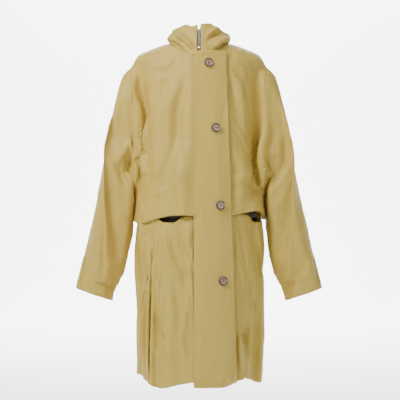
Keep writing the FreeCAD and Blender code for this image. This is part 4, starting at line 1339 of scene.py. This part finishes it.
def tube(path, radius, sides):
    """Points and faces of a round tube along a path."""
    path = np.asarray(path, float)
    ways = np.gradient(path, axis=0)
    ways /= np.maximum(np.linalg.norm(ways, axis=1, keepdims=True), 1e-12)
    guide = np.array((0.3, 0.2, 0.93))
    verts = []
    for spot, way in zip(path, ways):
        a = np.cross(way, guide)
        a /= np.linalg.norm(a)
        b = np.cross(way, a)
        for k in range(sides):
            t = 2 * math.pi * k / sides
            verts.append(spot + radius * (math.cos(t) * a + math.sin(t) * b))
    faces = grid_faces(len(path), sides, True)
    faces.append(tuple(range(sides))[::-1])
    faces.append(tuple(len(verts) - sides + k for k in range(sides)))
    return verts, faces


def tubes(name, paths, radius, material, sides=8):
    return build(name, *joined([tube(path, radius, sides) for path in paths]), material, "thread")


BUTTON_THICKNESS = 0.0042
HOLE_RADIUS = 0.00105
HOLE_SPREAD = 0.0027
BUTTON_SLOPE = 0.115  # how far the buttons lean back, as the placket does
LEAN_STEP = 0.01
placket_tree = surfaces(placket_piece)


def hole_way(quarter):
    """Which way a sewing hole lies from the middle of its button."""
    a = math.pi / 4 + quarter * math.pi / 2
    return np.array((math.cos(a), math.sin(a), 0))


def thread_path(first, second, slip):
    """A thread over the button's face, from one hole to the hole across it."""
    aside = np.array((slip, -slip if first else slip, 0))
    start, end = (HOLE_SPREAD * hole_way(quarter) + aside for quarter in (first, second))
    path = [start + (0, 0, 0.001)]
    for t in np.linspace(0, 1, 7):
        rise = 0.62 * BUTTON_THICKNESS + 0.0005 * math.sin(math.pi * t) + 0.0002
        path.append(start * (1 - t) + end * t + (0, 0, rise))
    return path + [end + (0, 0, 0.001)]


for number in range(1, 5):
    node = f"button_{number}"
    low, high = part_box(node)
    centre = (low + high) / 2
    left, right = (
        front_of(cad_placket, centre.x + step, centre.z + 0.02, 0) for step in (-LEAN_STEP, LEAN_STEP)
    )
    sideways = Vector((2 * LEAN_STEP, right - left, 0))
    outward = sideways.cross(Vector((0, BUTTON_SLOPE, 1))).normalized()
    turn = outward.to_track_quat("Z", "Y").to_matrix().to_4x4()
    turn.translation = centre - outward * BUTTON_THICKNESS * 0.5
    verts, faces = button_mesh(BUTTON_RADIUS, BUTTON_THICKNESS)
    thing = build(node, verts, faces, HORN, "tortoiseshell")
    drilled(thing, HOLE_RADIUS, HOLE_SPREAD, BUTTON_THICKNESS)
    thing.matrix_world = turn
    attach(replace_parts(thing, node), node)
    paths = [thread_path(*pair, slip) for pair in ((0, 2), (1, 3)) for slip in (-0.0004, 0.0, 0.0004)]
    threads = tubes(f"button_thread_{number}", paths, 0.00026, BROWN_THREAD, 6)
    threads.matrix_world = turn
    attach(threads, node)

    # a worked buttonhole behind each button
    hole = []
    for k in range(41):
        a = 2 * math.pi * k / 40
        x = centre.x + 0.0145 * math.copysign(abs(math.cos(a)) ** 0.6, math.cos(a))
        z = centre.z + 0.0022 * math.copysign(abs(math.sin(a)) ** 0.6, math.sin(a))
        hole.append((x, front_of(placket_tree, x, z, centre.y) - 0.0003, z))
    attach(tubes(f"buttonhole_{number}", [hole], 0.0008, THREAD), "coat")

# -------------------------------------------------------------------------- the zip

for name, sign in SIDES.items():
    low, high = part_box(f"zip_tape_{name}")
    levels = np.linspace(high.z, low.z, 110)
    cross = np.linspace(low.x, high.x, 5)
    slant = (high.y - low.y - 0.0006) / (high.z - low.z)
    grid = np.array([[(x, low.y + 0.0003 + slant * (z - low.z), z) for x in cross] for z in levels])
    worn(grid_piece(f"zip_tape_{name}", grid, TAPE, "zip_tape", 0.0006, 0, True, 0), f"zip_tape_{name}")
CAD_SHOWN = dict.fromkeys(
    ("zip_teeth_right", "zip_teeth_left", "zip_top_stop_right", "zip_top_stop_left",
     "zip_retaining_box", "zip_slider", "zip_pull"), METAL
)
CAD_SHOWN |= {"backing_buttons": HORN, "button_thread_shanks": BROWN_THREAD}
for node, material in CAD_SHOWN.items():
    frame["nodes"][node].data.materials.clear()
    frame["nodes"][node].data.materials.append(material)

# ------------------------------------------------ pads, vents and the hanger loop

PAD_HALF_WIDTH, PAD_HALF_DEPTH, PAD_HALF_HEIGHT = 0.033, 0.031, 0.0036
PAD_SLOPE = math.radians(22)
for name, sign in SIDES.items():
    low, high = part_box(f"shoulder_pad_{name}")
    centre = (high + low) / 2
    verts = []
    for lat in np.linspace(0, math.pi, 13):
        for lon in np.linspace(0, 2 * math.pi, 29)[:-1]:
            x = math.sin(lat) * math.cos(lon)
            y = math.sin(lat) * math.sin(lon)
            edge = 1 - 0.35 * max(0, x * sign) ** 2
            dx = PAD_HALF_WIDTH * x
            dz = PAD_HALF_HEIGHT * math.cos(lat) * edge - sign * dx * math.tan(PAD_SLOPE) - 0.004 * y * y
            verts.append((centre.x + dx, centre.y + PAD_HALF_DEPTH * y, centre.z + dz))
    pad = build(f"shoulder_pad_{name}", np.array(verts), grid_faces(13, 28, True), PADDING, "padding")
    worn(pad, f"shoulder_pad_{name}")

    low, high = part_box(f"sleeve_vent_{name}")
    outer = surfaces(made[f"sleeve_{name}"])[0]
    grid = []
    for z in np.linspace(high.z, low.z, 14):
        cross = []
        for y in np.linspace(shoulder.y - 0.02, shoulder.y + 0.012, 9):
            spot = outer.ray_cast(Vector((sign, y, z)), Vector((-sign, 0, 0)))[0]
            cross.append((spot.x + sign * 0.0012 if spot else sign * 0.32, y, z))
        grid.append(cross)
    vent = grid_piece(f"sleeve_vent_{name}", np.array(grid), COAT, COAT_SLOT, 0.0012, 0, sign > 0)
    bend(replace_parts(vent, f"sleeve_vent_{name}"))

low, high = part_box("hanger_loop")
y = (low.y + high.y) / 2
path = []
for t in np.linspace(0, 1, 33):
    a = math.pi * t
    x = low.x + 0.003 + (high.x - low.x - 0.006) * (0.5 - 0.5 * math.cos(a))
    path.append((x, y, high.z - 0.002 - (high.z - low.z - 0.004) * math.sin(a) ** 0.55))
strip = []
for k, spot in enumerate(path):
    way = np.subtract(path[min(k + 1, 32)], path[max(k - 1, 0)])
    way /= np.linalg.norm(way)
    beside = np.array((-way[2], 0, way[0]))
    strip.append([np.add(spot, beside * d) for d in (-0.0022, -0.0011, 0, 0.0011, 0.0022)])
loop = grid_piece("hanger_loop", np.array(strip), COAT, COAT_SLOT, 0.001, 0)
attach(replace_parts(loop, "hanger_loop"), "hanger_loop")

# ---------------------------------------------------------------- floor and lights


FLOOR_BACK = 7.0
CURVE = 2.0


def stage_sheet():
    """A pale floor that curves up into a backdrop."""
    turn = np.linspace(0, math.pi / 2, 13)[1:]
    curve = np.stack((FLOOR_BACK + CURVE * np.sin(turn), CURVE * (1 - np.cos(turn))), 1)
    profile = [(-12.0, 0.0), (FLOOR_BACK, 0.0), *curve, (FLOOR_BACK + CURVE, 11.0)]
    floor = cad_box[0][2] - 0.36
    rows = [[(x, y, z + floor) for x in np.linspace(-16, 16, 9)] for y, z in profile]
    thing = new_mesh("floor", np.array(rows).reshape(-1, 3), grid_faces(len(profile), 9))
    thing.data.polygons.foreach_set("use_smooth", [True] * len(thing.data.polygons))
    n = Nodes("floor_paint")
    place = n.add("ShaderNodeTexCoord").outputs["Object"]
    tone = n.mix(n.noise(place, 0.8), shade(0.93, 0.932, 0.94), shade(0.96, 0.962, 0.97))
    thing.data.materials.append(n.finish(tone, None, (), Roughness=0.85))


stage_sheet()
target_spot = Vector((0.003, 0, -0.407))


def area_light(name, place, power, width, tint, aim=target_spot):
    light = bpy.data.lights.new(name, "AREA")
    light.energy = power
    light.size = width
    light.color = tint
    lamp = bpy.data.objects.new(name, light)
    lamp.location = place
    lamp.visible_camera = False
    lamp.rotation_euler = (aim - Vector(place)).to_track_quat("-Z", "Y").to_euler()
    bpy.context.scene.collection.objects.link(lamp)


area_light("key", (-1.15, -1.2, 0.95), 50, 0.7, (1, 0.985, 0.96), Vector((0, 0, -0.25)))
area_light("fill", (2.0, -3.0, 1.2), 40, 2.2, (0.97, 0.985, 1))
area_light("back", (0.3, 0.9, 2.6), 30, 2.0, (1, 1, 1))
area_light("backdrop", (0.0, 5.4, 4.5), 2600, 5.0, (1, 1, 1), Vector((0, 9.2, -0.2)))
world = bpy.data.worlds.new("studio")
bpy.context.scene.world = world
world.use_nodes = True
sky = world.node_tree.nodes["Background"].inputs
sky["Color"].default_value = (0.93, 0.95, 1, 1)
sky["Strength"].default_value = 0.36

camera_data = bpy.data.cameras.new("camera")
camera = bpy.data.objects.new("camera", camera_data)
bpy.context.scene.collection.objects.link(camera)
CAMERA_AWAY = 4.1
VIEW_WIDTH = 1.1
camera_data.lens = camera_data.sensor_width * (CAMERA_AWAY - 0.07) / VIEW_WIDTH
camera_data.clip_end = 50
camera.location = target_spot + Vector((0, -CAMERA_AWAY, 0))
camera.rotation_euler = (math.pi / 2, 0, 0)
bpy.context.scene.camera = camera
